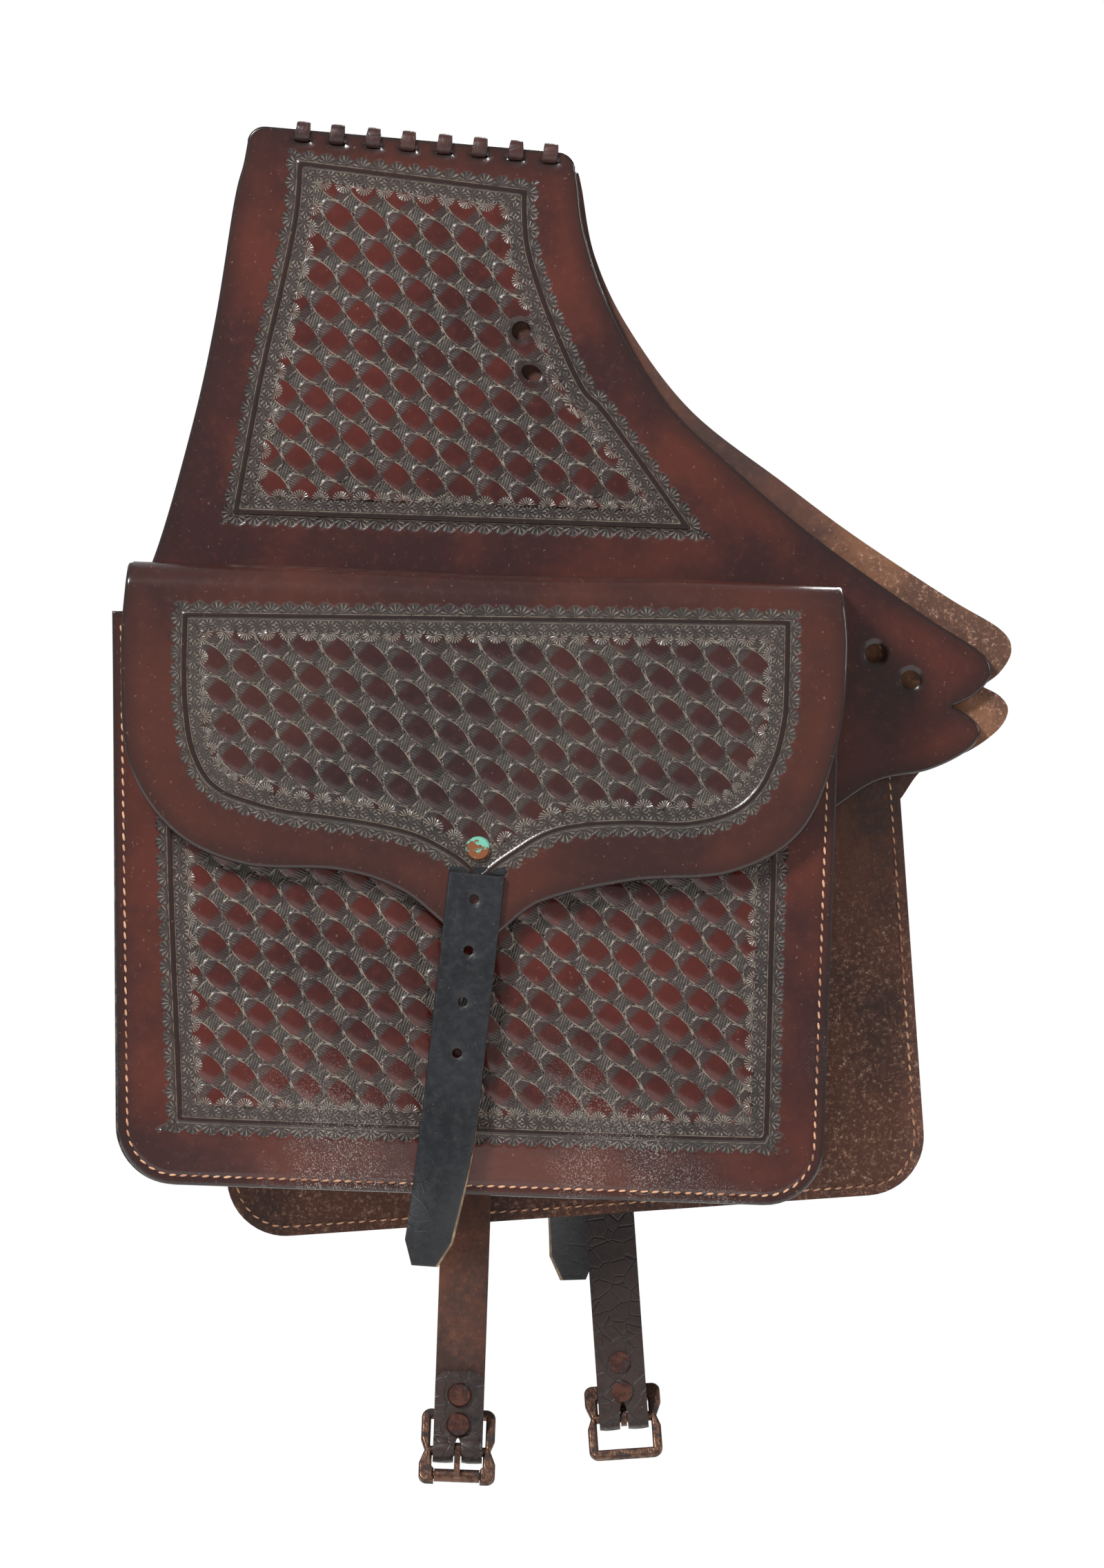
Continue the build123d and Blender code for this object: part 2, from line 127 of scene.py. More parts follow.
def lineField(line, points):
    tree = kdtree.KDTree(len(line))
    for i, p in enumerate(line):
        tree.insert((p[0], p[1], 0), i)
    tree.balance()
    near = np.array([tree.find((p[0], p[1], 0))[1] for p in points])
    ahead = np.roll(line, -1, 0) - np.roll(line, 1, 0)
    ahead /= np.linalg.norm(ahead, axis=1)[:, None] + 1e-9
    away = points - line[near]
    along = (away * ahead[near]).sum(1)
    lengths = np.concatenate([[0], np.cumsum(np.linalg.norm(np.diff(line, axis=0), axis=1))])
    distance = np.linalg.norm(away, axis=1)
    return np.where(insideLoop(line, points), distance, -distance), lengths[near] + along


# ---- materials

def linear(hexText):
    value = [int(hexText[i:i + 2], 16) / 255 for i in (1, 3, 5)]
    return [c / 12.92 if c <= 0.04045 else ((c + 0.055) / 1.055) ** 2.4 for c in value] + [1.0]


def addNode(tree, kind, inputs=(), **settings):
    node = tree.nodes.new(kind)
    for key, value in settings.items():
        setattr(node, key, value)
    pairs = inputs.items() if isinstance(inputs, dict) else enumerate(inputs)
    for key, value in pairs:
        if isinstance(value, str) and value.startswith("#"):
            value = linear(value)
        elif isinstance(value, bpy.types.Node):
            value = next(o for o in value.outputs if o.enabled)
        if isinstance(value, bpy.types.NodeSocket):
            tree.links.new(value, node.inputs[key])
        elif value is not None:
            node.inputs[key].default_value = value
    return node


def startMaterial(name):
    material = bpy.data.materials.new(name)
    material.use_nodes = True
    tree = material.node_tree
    tree.nodes.clear()
    add = partial(addNode, tree)
    ease = partial(add, "ShaderNodeMapRange", interpolation_type="SMOOTHSTEP")    # value, from, to
    blend = partial(add, "ShaderNodeMix", data_type="RGBA")    # 0 is the share of 7 laid over 6
    return material, add, ease, blend


def finishMaterial(add, color, roughness, height, bump, sockets=()):
    normal = add("ShaderNodeBump", {"Height": height, "Strength": bump, "Distance": 0.0005})
    inputs = {"Base Color": color, "Roughness": roughness, "Normal": normal}
    inputs.update(sockets)
    surface = add("ShaderNodeBsdfPrincipled", inputs)
    add("ShaderNodeOutputMaterial", {0: surface})


tooling = {"cellLong": 22.6, "cellWide": 15.0, "ovalLong": 8.9, "ovalWide": 4.75, "weaveTurn": -42.0,
           "scallopPitch": 7.2, "scallopEnd": 4.8, "beadMiddle": 6.4, "beadEnd": 8.0, "flowerPitch": 4.9,
           "flowerMiddle": 10.3, "flowerEnd": 12.6, "shellPitch": 8.4}


def leatherBase(add, ease, blend, tones, scale=1.0):
    coords = add("ShaderNodeTexCoord").outputs["Object"]
    cloud = add("ShaderNodeTexNoise", {"Vector": coords, "Scale": 14.0 * scale, "Detail": 5.0,
                                       "Roughness": 0.6})
    fine = add("ShaderNodeTexNoise", {"Vector": coords, "Scale": 260.0, "Detail": 4.0, "Roughness": 0.7})
    base = blend({0: ease([cloud, 0.36, 0.62]), 6: tones[0], 7: tones[1]})
    base = blend({0: ease([fine, 0.45, 0.78, 0.0, 0.5]), 6: base, 7: tones[2]})
    return coords, cloud, fine, base


def tooledLeather(name, tones, margin, deep):
    # Vegetable-tanned skirting leather, stamped by hand and oiled: glossy oxblood pillows, dull grey recesses
    material, add, ease, blend = startMaterial(name)
    calc = partial(add, "ShaderNodeMath")
    coords, cloud, fine, base = leatherBase(add, ease, blend, tones)
    lattice = add("ShaderNodeAttribute", attribute_name="lattice").outputs["Vector"]
    p, q, weave = add("ShaderNodeSeparateXYZ", [lattice]).outputs
    rim = add("ShaderNodeAttribute", attribute_name="rim").outputs["Vector"]
    depth, run, edge = add("ShaderNodeSeparateXYZ", [rim]).outputs
    t = tooling
    cells = []
    for shift in (0.0, 0.5):
        long = calc([calc([p, shift * t["cellLong"]], operation="ADD"),
                     t["cellLong"] / 2, -t["cellLong"] / 2], operation="WRAP")
        wide = calc([calc([q, shift * t["cellWide"]], operation="ADD"),
                     t["cellWide"] / 2, -t["cellWide"] / 2], operation="WRAP")
        a = calc([calc([long, 1 / t["ovalLong"]], operation="MULTIPLY"), 2.0], operation="POWER")
        b = calc([calc([wide, 1 / t["ovalWide"]], operation="MULTIPLY"), 2.0], operation="POWER")
        cells.append((long, wide, calc([calc([a, b], operation="ADD")], operation="SQRT")))
    (long1, _, f1), (long2, _, f2) = cells
    oval = calc([f1, f2], operation="MINIMUM")
    pick = calc([f1, f2], operation="LESS_THAN")
    longNear = add("ShaderNodeMix", {0: pick, 2: long2, 3: long1}, data_type="FLOAT")
    far = calc([longNear], operation="ABSOLUTE")
    ends = ease([far, 3.4, 5.6])
    broken = ease([fine, 0.36, 0.56, 0.25, 1.0])
    sides = calc([ease([far, 6.2, 7.8, 1.0, 0.0]), broken], operation="MULTIPLY")
    ridge = calc([ease([oval, 0.9, 0.96]), ease([oval, 0.99, 1.05])], operation="SUBTRACT")
    ridge = calc([ridge, sides], operation="MULTIPLY")
    crease = calc([ease([oval, 1.0, 1.06]), ease([oval, 1.1, 1.2])], operation="SUBTRACT")
    square, bars = [], []
    for long, wide, _ in cells:
        sp = calc([t["cellLong"] / 2, calc([long], operation="ABSOLUTE")], operation="SUBTRACT")
        sq = calc([wide], operation="ABSOLUTE")
        within = ease([sq, 2.5, 2.9, 1.0, 0.0])
        square.append(calc([ease([sp, 2.3, 2.7, 1.0, 0.0]), within], operation="MULTIPLY"))
        line = calc([ease([sp, 2.4, 2.6]), ease([sp, 3.0, 3.2])], operation="SUBTRACT")
        bars.append(calc([line, within], operation="MULTIPLY"))
    square = calc(square, operation="MAXIMUM")
    bars = calc([calc(bars, operation="MAXIMUM"), broken], operation="MULTIPLY")
    hatch = calc([calc([calc([calc([p, 0.35], operation="MULTIPLY"), q], operation="SUBTRACT"), 5.4],
                       operation="MULTIPLY")], operation="SINE")
    squareLine = calc([calc([calc([p, calc([q, 0.5], operation="MULTIPLY")], operation="ADD"), 5.2],
                            operation="MULTIPLY")], operation="SINE")
    ditch = ease([oval, 0.97, 1.05])
    weaveIn = calc([ease([depth, t["flowerEnd"] - 0.2, t["flowerEnd"] + 0.2]), weave],
                   operation="MULTIPLY")

    # border rows, from the outside in: scallops, bead, flowers and shells
    def stamp(pitch, centre, petals, shift=0.0):
        x = calc([calc([run, shift], operation="ADD"), pitch / 2, -pitch / 2], operation="WRAP")
        y = calc([centre, depth], operation="SUBTRACT")
        far = calc([calc([calc([x, x], operation="MULTIPLY"), calc([y, y], operation="MULTIPLY")],
                         operation="ADD")], operation="SQRT")
        lines = calc([calc([calc([x, y], operation="ARCTAN2"), petals], operation="MULTIPLY")],
                     operation="SINE")
        return far, calc([lines, ease([far, 0.6, 1.6])], operation="MULTIPLY")

    inBorder = calc([ease([depth, -0.1, 0.1]), weave], operation="MULTIPLY")

    def row(outer, inner):
        return calc([calc([outer, inner], operation="MULTIPLY"), inBorder], operation="MULTIPLY")

    def before(end, soft=0.1):
        return ease([depth, end - soft, end + soft, 1.0, 0.0])

    def past(start):
        return ease([depth, start - 0.1, start + 0.1])

    farA, linesA = stamp(t["scallopPitch"], t["scallopEnd"], 11.0)
    scallop = row(ease([farA, 3.7, 4.1, 1.0, 0.0]), before(t["scallopEnd"]))
    rimA = calc([ease([farA, 3.3, 3.7]), scallop], operation="MULTIPLY")
    beadIn = row(past(t["scallopEnd"]), before(t["beadEnd"]))
    beadOff = calc([calc([depth, t["beadMiddle"]], operation="SUBTRACT")], operation="ABSOLUTE")
    beadLine = calc([ease([beadOff, 1.0, 1.25]), beadIn], operation="MULTIPLY")
    _, linesB = stamp(t["flowerPitch"], t["flowerMiddle"], 8.0)
    flower = row(past(t["beadEnd"]), before(t["flowerEnd"], 0.2))
    farC, linesC = stamp(t["shellPitch"], t["flowerEnd"], 18.0, 2.0)
    shell = row(ease([farC, 3.2, 3.8, 1.0, 0.0]),
                ease([depth, t["flowerEnd"] - 0.2, t["flowerEnd"]]))

    recess = blend({0: ease([cloud, 0.35, 0.65]), 6: deep[0], 7: deep[1]})
    # Pale grey for raised lines: part dust, part painted highlight where light catches them
    dustAndHighlight = blend({0: ease([fine, 0.4, 0.64]), 6: deep[2], 7: deep[3]})
    marginTone = blend({0: ease([cloud, 0.38, 0.64]), 6: margin[0], 7: margin[1]})
    marginTone = blend({0: ease([fine, 0.5, 0.8, 0.0, 0.4]), 6: marginTone, 7: margin[2]})
    color = blend({0: weaveIn, 6: marginTone, 7: base})

    def layTone(color, factors, tone):
        factor = factors[0]
        for more in factors[1:]:
            factor = calc([factor, more], operation="MULTIPLY")
        return blend({0: factor, 6: color, 7: tone})

    greyEnd = calc([calc([ends, weaveIn], operation="MULTIPLY"), 0.8], operation="MULTIPLY")
    color = layTone(color, (greyEnd,), recess)
    # The pale tone laid on the raised hatch, square lines, bars, ridges and stamp lines below is part dust,
    # part painted highlight
    color = layTone(color, (ease([hatch, 0.3, 0.9]), greyEnd, 0.14), dustAndHighlight)
    color = layTone(color, (ditch, weaveIn, 0.92), recess)
    # Near-black in the crease round each pillow is painted shadow beside the raised ridge, over a real
    # pressed groove
    color = layTone(color, (crease, weaveIn, 0.8), "#120d0c")
    color = layTone(color, (square, weaveIn, 0.7), deep[1])
    squarePart = calc([calc([ease([squareLine, 0.1, 0.8]), square], operation="MULTIPLY"), weaveIn],
                      operation="MULTIPLY")
    color = layTone(color, (squarePart, 0.45), dustAndHighlight)
    color = layTone(color, (bars, weaveIn, 0.7), dustAndHighlight)
    color = layTone(color, (ridge, weaveIn, 0.85), dustAndHighlight)
    for mask, lines in ((scallop, linesA), (flower, linesB)):
        color = blend({0: calc([mask, 0.9], operation="MULTIPLY"), 6: color, 7: recess})
        color = layTone(color, (ease([lines, 0.3, 0.9]), mask, broken, 0.7), dustAndHighlight)
    color = blend({0: calc([rimA, 0.5], operation="MULTIPLY"), 6: color, 7: "#17110f"})
    color = layTone(color, (beadIn, 0.85), "#1e1715")
    # Pale lines on the shoulders of the dark shiny bead are painted highlight, broken up by noise
    thin = calc([ease([beadOff, 0.95, 1.1]), ease([beadOff, 1.3, 1.45])], operation="SUBTRACT")
    color = layTone(color, (thin, beadIn, broken, 0.75), "#857a6c")
    # Pale radial lines on the raised parts of the shell stamps are part dust, part painted highlight
    shellBright = calc([calc([ease([linesC, -0.1, 0.7]), shell], operation="MULTIPLY"), 0.6],
                       operation="MULTIPLY")
    color = blend({0: calc([shell, 0.5], operation="MULTIPLY"), 6: color, 7: recess})
    color = blend({0: shellBright, 6: color, 7: "#a39688"})
    color = blend({0: ease([edge, 0.6, 9.0, 0.6, 0.0]), 6: color, 7: "#2a1917"})
    color = blend({0: ease([edge, 0.3, 2.2, 0.75, 0.0]), 6: color, 7: "#1f1817"})
    height = add("ShaderNodeSeparateXYZ", [coords]).outputs["Z"]
    bloom = add("ShaderNodeTexNoise", {"Vector": coords, "Scale": 17.0, "Detail": 5.0})
    low = calc([ease([height, -0.35, -0.42]), ease([bloom, 0.48, 0.66])], operation="MULTIPLY")
    powder = add("ShaderNodeTexNoise", {"Vector": coords, "Scale": 1700.0, "Detail": 3.0, "Roughness": 0.7})
    speck = add("ShaderNodeTexNoise", {"Vector": coords, "Scale": 620.0, "Detail": 2.0})
    color = blend({0: ease([speck, 0.69, 0.75, 0.0, 0.25]), 6: color, 7: "#b08a78"})
    color = blend({0: calc([ease([powder, 0.52, 0.66, 0.0, 0.55]), low], operation="MULTIPLY"),
                   6: color, 7: "#c9bdb4"})

    pressed = calc([calc([greyEnd, 0.5], operation="MULTIPLY"),
                    calc([ditch, weaveIn], operation="MULTIPLY")], operation="ADD")
    pressed = calc([pressed, calc([scallop, flower], operation="ADD")], operation="ADD")
    roughness = ease([calc([pressed, calc([fine, 0.5], operation="MULTIPLY")], operation="ADD"),
                      0.1, 1.3, 0.2, 0.6])
    lift = calc([ridge, 1.6], operation="MULTIPLY")
    for mark, much in ((crease, -1.2), (bars, 1.2), (calc([hatch, greyEnd], operation="MULTIPLY"), 0.25),
                       (calc([squareLine, square], operation="MULTIPLY"), 0.8)):
        lift = calc([lift, calc([mark, much], operation="MULTIPLY")], operation="ADD")
    lift = calc([lift, weaveIn], operation="MULTIPLY")
    for mask, lines, much in ((scallop, linesA, 0.9), (flower, linesB, 0.9), (shell, linesC, 0.5)):
        lift = calc([lift, calc([calc([lines, mask], operation="MULTIPLY"), much], operation="MULTIPLY")],
                    operation="ADD")
    lift = calc([lift, calc([beadLine, -1.5], operation="MULTIPLY")], operation="ADD")
    lift = calc([lift, calc([fine, 0.3], operation="MULTIPLY")], operation="ADD")
    finishMaterial(add, color, roughness, lift, 0.5, sockets={"IOR": 1.5, "Coat Weight": 0.3,
                                                              "Coat Roughness": 0.22})
    return material


def plainLeather(name, tones, roughLow=0.35, roughHigh=0.6, creases=0.0, specks="#b08a78", speckAmount=0.5):
    # Oiled strap leather: small creases and scuffs break up a satin surface
    material, add, ease, blend = startMaterial(name)
    calc = partial(add, "ShaderNodeMath")
    coords, _, fine, color = leatherBase(add, ease, blend, tones, 2.0)
    cracks = add("ShaderNodeTexVoronoi", {"Vector": coords, "Scale": 160.0}, feature="DISTANCE_TO_EDGE")
    crackMask = ease([cracks, 0.0, 0.07, creases, 0.0])
    color = blend({0: crackMask, 6: color, 7: "#1a1413"})
    speck = add("ShaderNodeTexNoise", {"Vector": coords, "Scale": 1100.0, "Detail": 2.0})
    color = blend({0: ease([speck, 0.69, 0.74, 0.0, speckAmount]), 6: color, 7: specks})
    roughness = ease([fine, 0.3, 0.75, roughLow, roughHigh])
    lift = calc([calc([fine, 0.8], operation="MULTIPLY"), crackMask], operation="SUBTRACT")
    finishMaterial(add, color, roughness, lift, 0.45, sockets={"IOR": 1.5})
    return material


def fleshLeather(name, tones, wear=1.0):
    # Flesh side of skirting leather, slicked but fibrous: dull with pale fibre ends
    material, add, ease, blend = startMaterial(name)
    calc = partial(add, "ShaderNodeMath")
    coords, cloud, fine, color = leatherBase(add, ease, blend, tones, 1.4)
    fibre = add("ShaderNodeTexNoise", {"Vector": coords, "Scale": 620.0, "Detail": 6.0, "Roughness": 0.8})
    x, _, z = add("ShaderNodeSeparateXYZ", [coords]).outputs
    ear = calc([ease([x, 0.15, 0.19]), ease([z, -0.262, -0.235])], operation="MULTIPLY")
    color = blend({0: calc([ear, ease([cloud, 0.42, 0.56, 0.25, 0.95])], operation="MULTIPLY"),
                   6: color, 7: "#7d5338"})
    worn = calc([ease([z, -0.27, -0.36]), ease([cloud, 0.3, 0.55, 0.25, 1.0])], operation="MULTIPLY")
    worn = calc([calc([worn, ear], operation="MAXIMUM"), wear], operation="MULTIPLY")
    for low, high, tone in ((0.5, 0.62, "#8c6653"), (0.6, 0.68, "#c9ab96")):
        color = blend({0: calc([ease([fibre, low, high]), worn], operation="MULTIPLY"), 6: color, 7: tone})
    lift = calc([calc([fibre, 1.5], operation="MULTIPLY"), fine], operation="ADD")
    finishMaterial(add, color, 0.62, lift, 0.5, sockets={"IOR": 1.45})
    return material


def edgeLeather(name, dark, pale):
    # Cut leather edge, rubbed with a bone slicker: dark and shiny with paler worn fibre
    material, add, ease, blend = startMaterial(name)
    coords = add("ShaderNodeTexCoord").outputs["Object"]
    streak = add("ShaderNodeTexNoise", {"Vector": coords, "Scale": 190.0, "Detail": 5.0, "Roughness": 0.7})
    color = blend({0: ease([streak, 0.42, 0.68]), 6: dark, 7: pale})
    finishMaterial(add, color, ease([streak, 0.3, 0.7, 0.28, 0.6]), streak, 0.5, sockets={"IOR": 1.5})
    return material


def agedMetal(name, clean, tarnish, crust, crustAmount, roughness=0.38):
    # Cast bronze or copper left out of doors: warm bare metal under dull brown and green crusts
    material, add, ease, blend = startMaterial(name)
    coords = add("ShaderNodeTexCoord").outputs["Object"]
    patch = add("ShaderNodeTexNoise", {"Vector": coords, "Scale": 210.0, "Detail": 6.0, "Roughness": 0.65})
    fine = add("ShaderNodeTexNoise", {"Vector": coords, "Scale": 900.0, "Detail": 3.0})
    color = blend({0: ease([patch, 0.4, 0.6]), 6: clean, 7: tarnish})
    crusted = ease([patch, 0.66 - 0.3 * crustAmount, 0.72 - 0.3 * crustAmount])
    color = blend({0: crusted, 6: color, 7: crust})
    metallic = ease([crusted, 0.0, 1.0, 0.9, 0.1])
    rough = ease([patch, 0.35, 0.7, roughness, 0.75])
    finishMaterial(add, color, rough, fine, 0.35, sockets={"Metallic": metallic})
    return material


def waxedThread(name):
    # Waxed linen harness thread: matt, pale where it has worn
    material, add, ease, blend = startMaterial(name)
    coords = add("ShaderNodeTexCoord").outputs["Object"]
    grime = add("ShaderNodeTexNoise", {"Vector": coords, "Scale": 60.0, "Detail": 4.0})
    fine = add("ShaderNodeTexNoise", {"Vector": coords, "Scale": 1500.0})
    color = blend({0: ease([grime, 0.4, 0.65]), 6: "#d6a583", 7: "#8f5e48"})
    finishMaterial(add, color, 0.6, fine, 0.5)
    return material


# The last two tones of each recess set are the pale dust and painted highlight of the raised tooled lines
deepTones = ("#1b1514", "#2f2724", "#574c43", "#9c9182")
tooled = tooledLeather("tooledSkirtingLeather", ("#351311", "#4f1d17", "#59261e"),
                       ("#341a19", "#55281f", "#63352a"), deepTones)
tooledFlap = tooledLeather("tooledFlapLeather", ("#2c1717", "#3f1f1c", "#472a25"),
                           ("#351d1b", "#4c271f", "#58352a"), ("#1d1816", "#322b26", "#584e43", "#94897a"))
flesh = fleshLeather("slickedFleshSide", ("#3c2621", "#5a3528", "#6b4432"))
edgeDark = edgeLeather("burnishedEdge", "#241d1b", "#6a605a")
edgeRaw = edgeLeather("rawCutEdge", "#6e5640", "#b39a76")
blackLeather = plainLeather("blackBridleLeather", ("#15171b", "#1f2126", "#2a2b30"), 0.3, 0.5, 0.15,
                            "#6d665e", 0.35)
billetFlesh = fleshLeather("brownBilletFleshSide", ("#341d17", "#5a2f1d", "#6f4026"), 0.12)
billetGrain = plainLeather("brownBilletGrain", ("#241a1a", "#33231f", "#3f2c27"), 0.35, 0.6, 0.8,
                           "#7a6a60", 0.5)
gussetLeather = plainLeather("creasedGussetLeather", ("#1f1716", "#33201d", "#452c25"), 0.34, 0.6, 0.5,
                             "#a08878", 0.4)
laceLeather = plainLeather("oiledLaceLeather", ("#2a1b1a", "#452a26", "#5c3c36"), 0.34, 0.55, 0.25,
                           "#c09080", 0.3)
copper = agedMetal("verdigrisCopper", "#a5694a", "#6b4434", "#6fb7a2", 0.55, 0.42)
rivetCopper = agedMetal("brownedCopperRivet", "#6d4a40", "#46302d", "#33272a", 0.3, 0.34)
bronze = agedMetal("oxidisedBronze", "#6f5446", "#493530", "#2a201d", 0.4, 0.3)
thread = waxedThread("waxedLinenThread")
print("materials ready")


# ---- leather sheets

def sheetPiece(name, outline, holes, place, relief, steps, fineArea, thickness, materials, attributes,
               rounding=0.9):
    loops = [outline] + holes
    border = np.vstack(loops)
    edgeTree = kdtree.KDTree(len(border))
    for i, p in enumerate(border):
        edgeTree.insert((p[0], p[1], 0), i)
    edgeTree.balance()

    def edgeDistance(points):
        return np.array([edgeTree.find((p[0], p[1], 0))[2] for p in points])

    low, high = outline.min(0), outline.max(0)

    def gridPoints(step):
        us = np.arange(low[0] + step / 3, high[0], step)
        vs = np.arange(low[1] + step / 3, high[1], step * 0.866)
        grid = np.stack(np.meshgrid(us, vs), -1)
        grid[1::2, :, 0] += step / 2
        return grid.reshape(-1, 2)

    inside = partial(insideLoop, outline)

    def fill(points):
        points = np.vstack([border, points])
        pairs, start = [], 0
        for loop in loops:
            n = len(loop)
            pairs += [(start + i, start + (i + 1) % n) for i in range(n)]
            start += n
        result = delaunay_2d_cdt([Vector(p) for p in points], pairs, [], 1, 1e-6)
        source = [o[0] for o in result[3]]
        faces = np.array([[source[i] for i in f] for f in result[2]])
        centre = points[faces].mean(1)
        keep = inside(centre)
        for loop in holes:
            keep &= ~insideLoop(loop, centre)
        faces = faces[keep]
        a, b, c = (points[faces[:, i]] for i in range(3))
        turned = np.cross(b - a, c - a) < 0
        faces[turned] = faces[turned][:, ::-1]
        return points, faces

    def chosen(step, wanted):
        points = gridPoints(step)
        points = points[inside(points)]
        for loop in holes:
            points = points[~insideLoop(loop, points)]
        points = points[wanted(points[:, 0], points[:, 1])]
        return points[edgeDistance(points) > step * 0.45]

    fine = chosen(steps[0], fineArea)
    coarse = chosen(steps[1], lambda u, v: ~fineArea(u, v))
    skin = []
    for inset in (0.35, 0.8, 1.4):
        ahead = np.roll(outline, -1, 0) - np.roll(outline, 1, 0)
        normal = np.stack([-ahead[:, 1], ahead[:, 0]], -1) / (np.linalg.norm(ahead, axis=1)[:, None] + 1e-9)
        ring = outline + normal * inset * (1 if shoelace(outline) > 0 else -1)
        skin.append(ring[np.abs(edgeDistance(ring) - inset) < 0.12])
    skin = np.vstack(skin)
    fine = fine[edgeDistance(fine) > 1.8] if len(fine) else fine
    front, frontFaces = fill(np.vstack([fine, coarse, skin]))
    back, backFaces = fill(chosen(steps[1], lambda u, v: u == u))

    edge = edgeDistance(front)
    drop = np.clip(rounding - edge, 0, None)
    soft = rounding - np.sqrt(np.clip(rounding ** 2 - drop ** 2, 0, None))
    field = attributes(front[:, 0], front[:, 1], edge)
    height = thickness / 2 - soft + relief(front[:, 0], front[:, 1], edge, field)
    frontCo = place(front[:, 0], front[:, 1], height)
    backEdge = edgeDistance(back)
    backDrop = np.clip(rounding * 0.6 - backEdge, 0, None)
    backCo = place(back[:, 0], back[:, 1], -thickness / 2 + backDrop * 0.6)
    count = len(front)
    sides, start = [], 0
    for loop in loops:
        n = len(loop)
        for i in range(n):
            a, b = start + i, start + (i + 1) % n
            sides.append((a, b, b + count, a + count))
        start += n
    vertices = np.vstack([frontCo, backCo])
    faces = frontFaces.tolist() + (backFaces[:, ::-1] + count).tolist() + sides
    index = [0] * len(frontFaces) + [1] * len(backFaces) + [2] * len(sides)
    mesh = bpy.data.meshes.new(name)
    mesh.from_pydata(vertices.tolist(), [], faces)
    mesh.polygons.foreach_set("material_index", index)
    mesh.polygons.foreach_set("use_smooth", [True] * len(faces))
    for key in ("lattice", "rim"):
        layer = mesh.attributes.new(key, "FLOAT_VECTOR", "POINT")
        values = np.zeros((len(vertices), 3))
        values[:count] = field[key]
        layer.data.foreach_set("vector", values.ravel())
    for m in materials:
        mesh.materials.append(m)
    mesh.validate()
    fixFacing(mesh)
    mesh.set_sharp_from_angle(angle=math.radians(50))
    piece = bpy.data.objects.new(name, mesh)
    bpy.context.scene.collection.objects.link(piece)
    print(name, len(mesh.polygons), "faces")
    return piece


def ovalLoop(u, v, ru, rv, turn=0.0, count=24):
    a = np.linspace(0, 2 * math.pi, count, endpoint=False)
    x, y = ru * np.cos(a), rv * np.sin(a)
    return np.stack([u + x * math.cos(turn) - y * math.sin(turn),
                     v + x * math.sin(turn) + y * math.cos(turn)], -1)


def shoelace(loop):
    x, y = loop[:, 0], loop[:, 1]
    return 0.5 * np.sum(x * np.roll(y, -1) - y * np.roll(x, -1))


def fixFacing(mesh):
    bm = bmesh.new()
    bm.from_mesh(mesh)
    bmesh.ops.recalc_face_normals(bm, faces=bm.faces)
    if bm.calc_volume(signed=True) < 0:
        bmesh.ops.reverse_faces(bm, faces=bm.faces)
    bm.to_mesh(mesh)
    bm.free()


# Weave and border relief, the same rules as the material's own pattern
def weaveCoords(u, v):
    turn = math.radians(tooling["weaveTurn"])
    return u * math.cos(turn) + v * math.sin(turn), -u * math.sin(turn) + v * math.cos(turn)


def wrap(value, pitch):
    return (value + pitch / 2) % pitch - pitch / 2


def stampRelief(field):
    t = tooling
    p, q, weave = field["lattice"].T
    depth, run, _ = field["rim"].T
    ovals = [np.hypot(wrap(p + s * t["cellLong"], t["cellLong"]) / t["ovalLong"],
                      wrap(q + s * t["cellWide"], t["cellWide"]) / t["ovalWide"]) for s in (0, 0.5)]
    oval = np.minimum(*ovals)
    pillow = np.clip(1 - oval ** 2, 0, 1) ** 0.6 * 1.25
    ridge = np.exp(-((oval - 0.96) / 0.06) ** 2) * 0.4
    height = np.where(depth > t["flowerEnd"], -0.75 + pillow + ridge, 0)
    scallop = np.hypot(wrap(run, t["scallopPitch"]), t["scallopEnd"] - depth) < 3.9
    height = np.where((depth > 0) & (depth < t["scallopEnd"]) & scallop, -0.5, height)
    inBead = (depth >= t["scallopEnd"]) & (depth < t["beadEnd"])
    bead = 0.55 * np.sqrt(np.clip(1 - ((depth - t["beadMiddle"]) / 1.5) ** 2, 0, 1)) - 0.35
    height = np.where(inBead, bead, height)
    height = np.where((depth >= t["beadEnd"]) & (depth < t["flowerEnd"]), -0.5, height)
    return height * weave


def toolField(u, v, edge, borderLine, tooledArea):
    depth, run = lineField(borderLine, np.stack([u, v], -1))
    p, q = weaveCoords(u, v)
    weave = tooledArea(u, v).astype(float)
    return {"lattice": np.stack([p, q, weave], -1), "rim": np.stack([depth, run, edge], -1)}


def plainField(u, v, edge):
    zero = np.zeros(len(u))
    return {"lattice": np.stack([zero, zero, zero], -1), "rim": np.stack([zero - 9, zero, edge], -1)}


def placed(half, base):
    return lambda u, v, h: toWorld(half, u, v, base + h)


def bagOutline(inset, top, step=1.2):
    left, right = bag["leftTop"] + inset, bag["right"] - inset
    bottom, r = bag["bottom"] + inset, bag["corner"] - inset
    low = bag["leftBottom"] + inset
    arc = [(math.cos(a), math.sin(a)) for a in np.linspace(math.pi, 1.5 * math.pi, 12)]
    leftArc = [(low + r + r * c, bottom + r + r * s) for c, s in arc]
    arc = [(math.cos(a), math.sin(a)) for a in np.linspace(1.5 * math.pi, 2 * math.pi, 12)]
    rightArc = [(right - r + r * c, bottom + r + r * s) for c, s in arc]
    return straightLine([(left, top)] + leftArc + rightArc + [(right, top)], step)


def laced(half, x):
    return toLocal(half, x, -x * math.tan(math.radians(fold["slope"])) - fold["drop"])


def earPoint(half, u, w):
    return (u - half["earTrim"] * (u - 150) / 92, w)


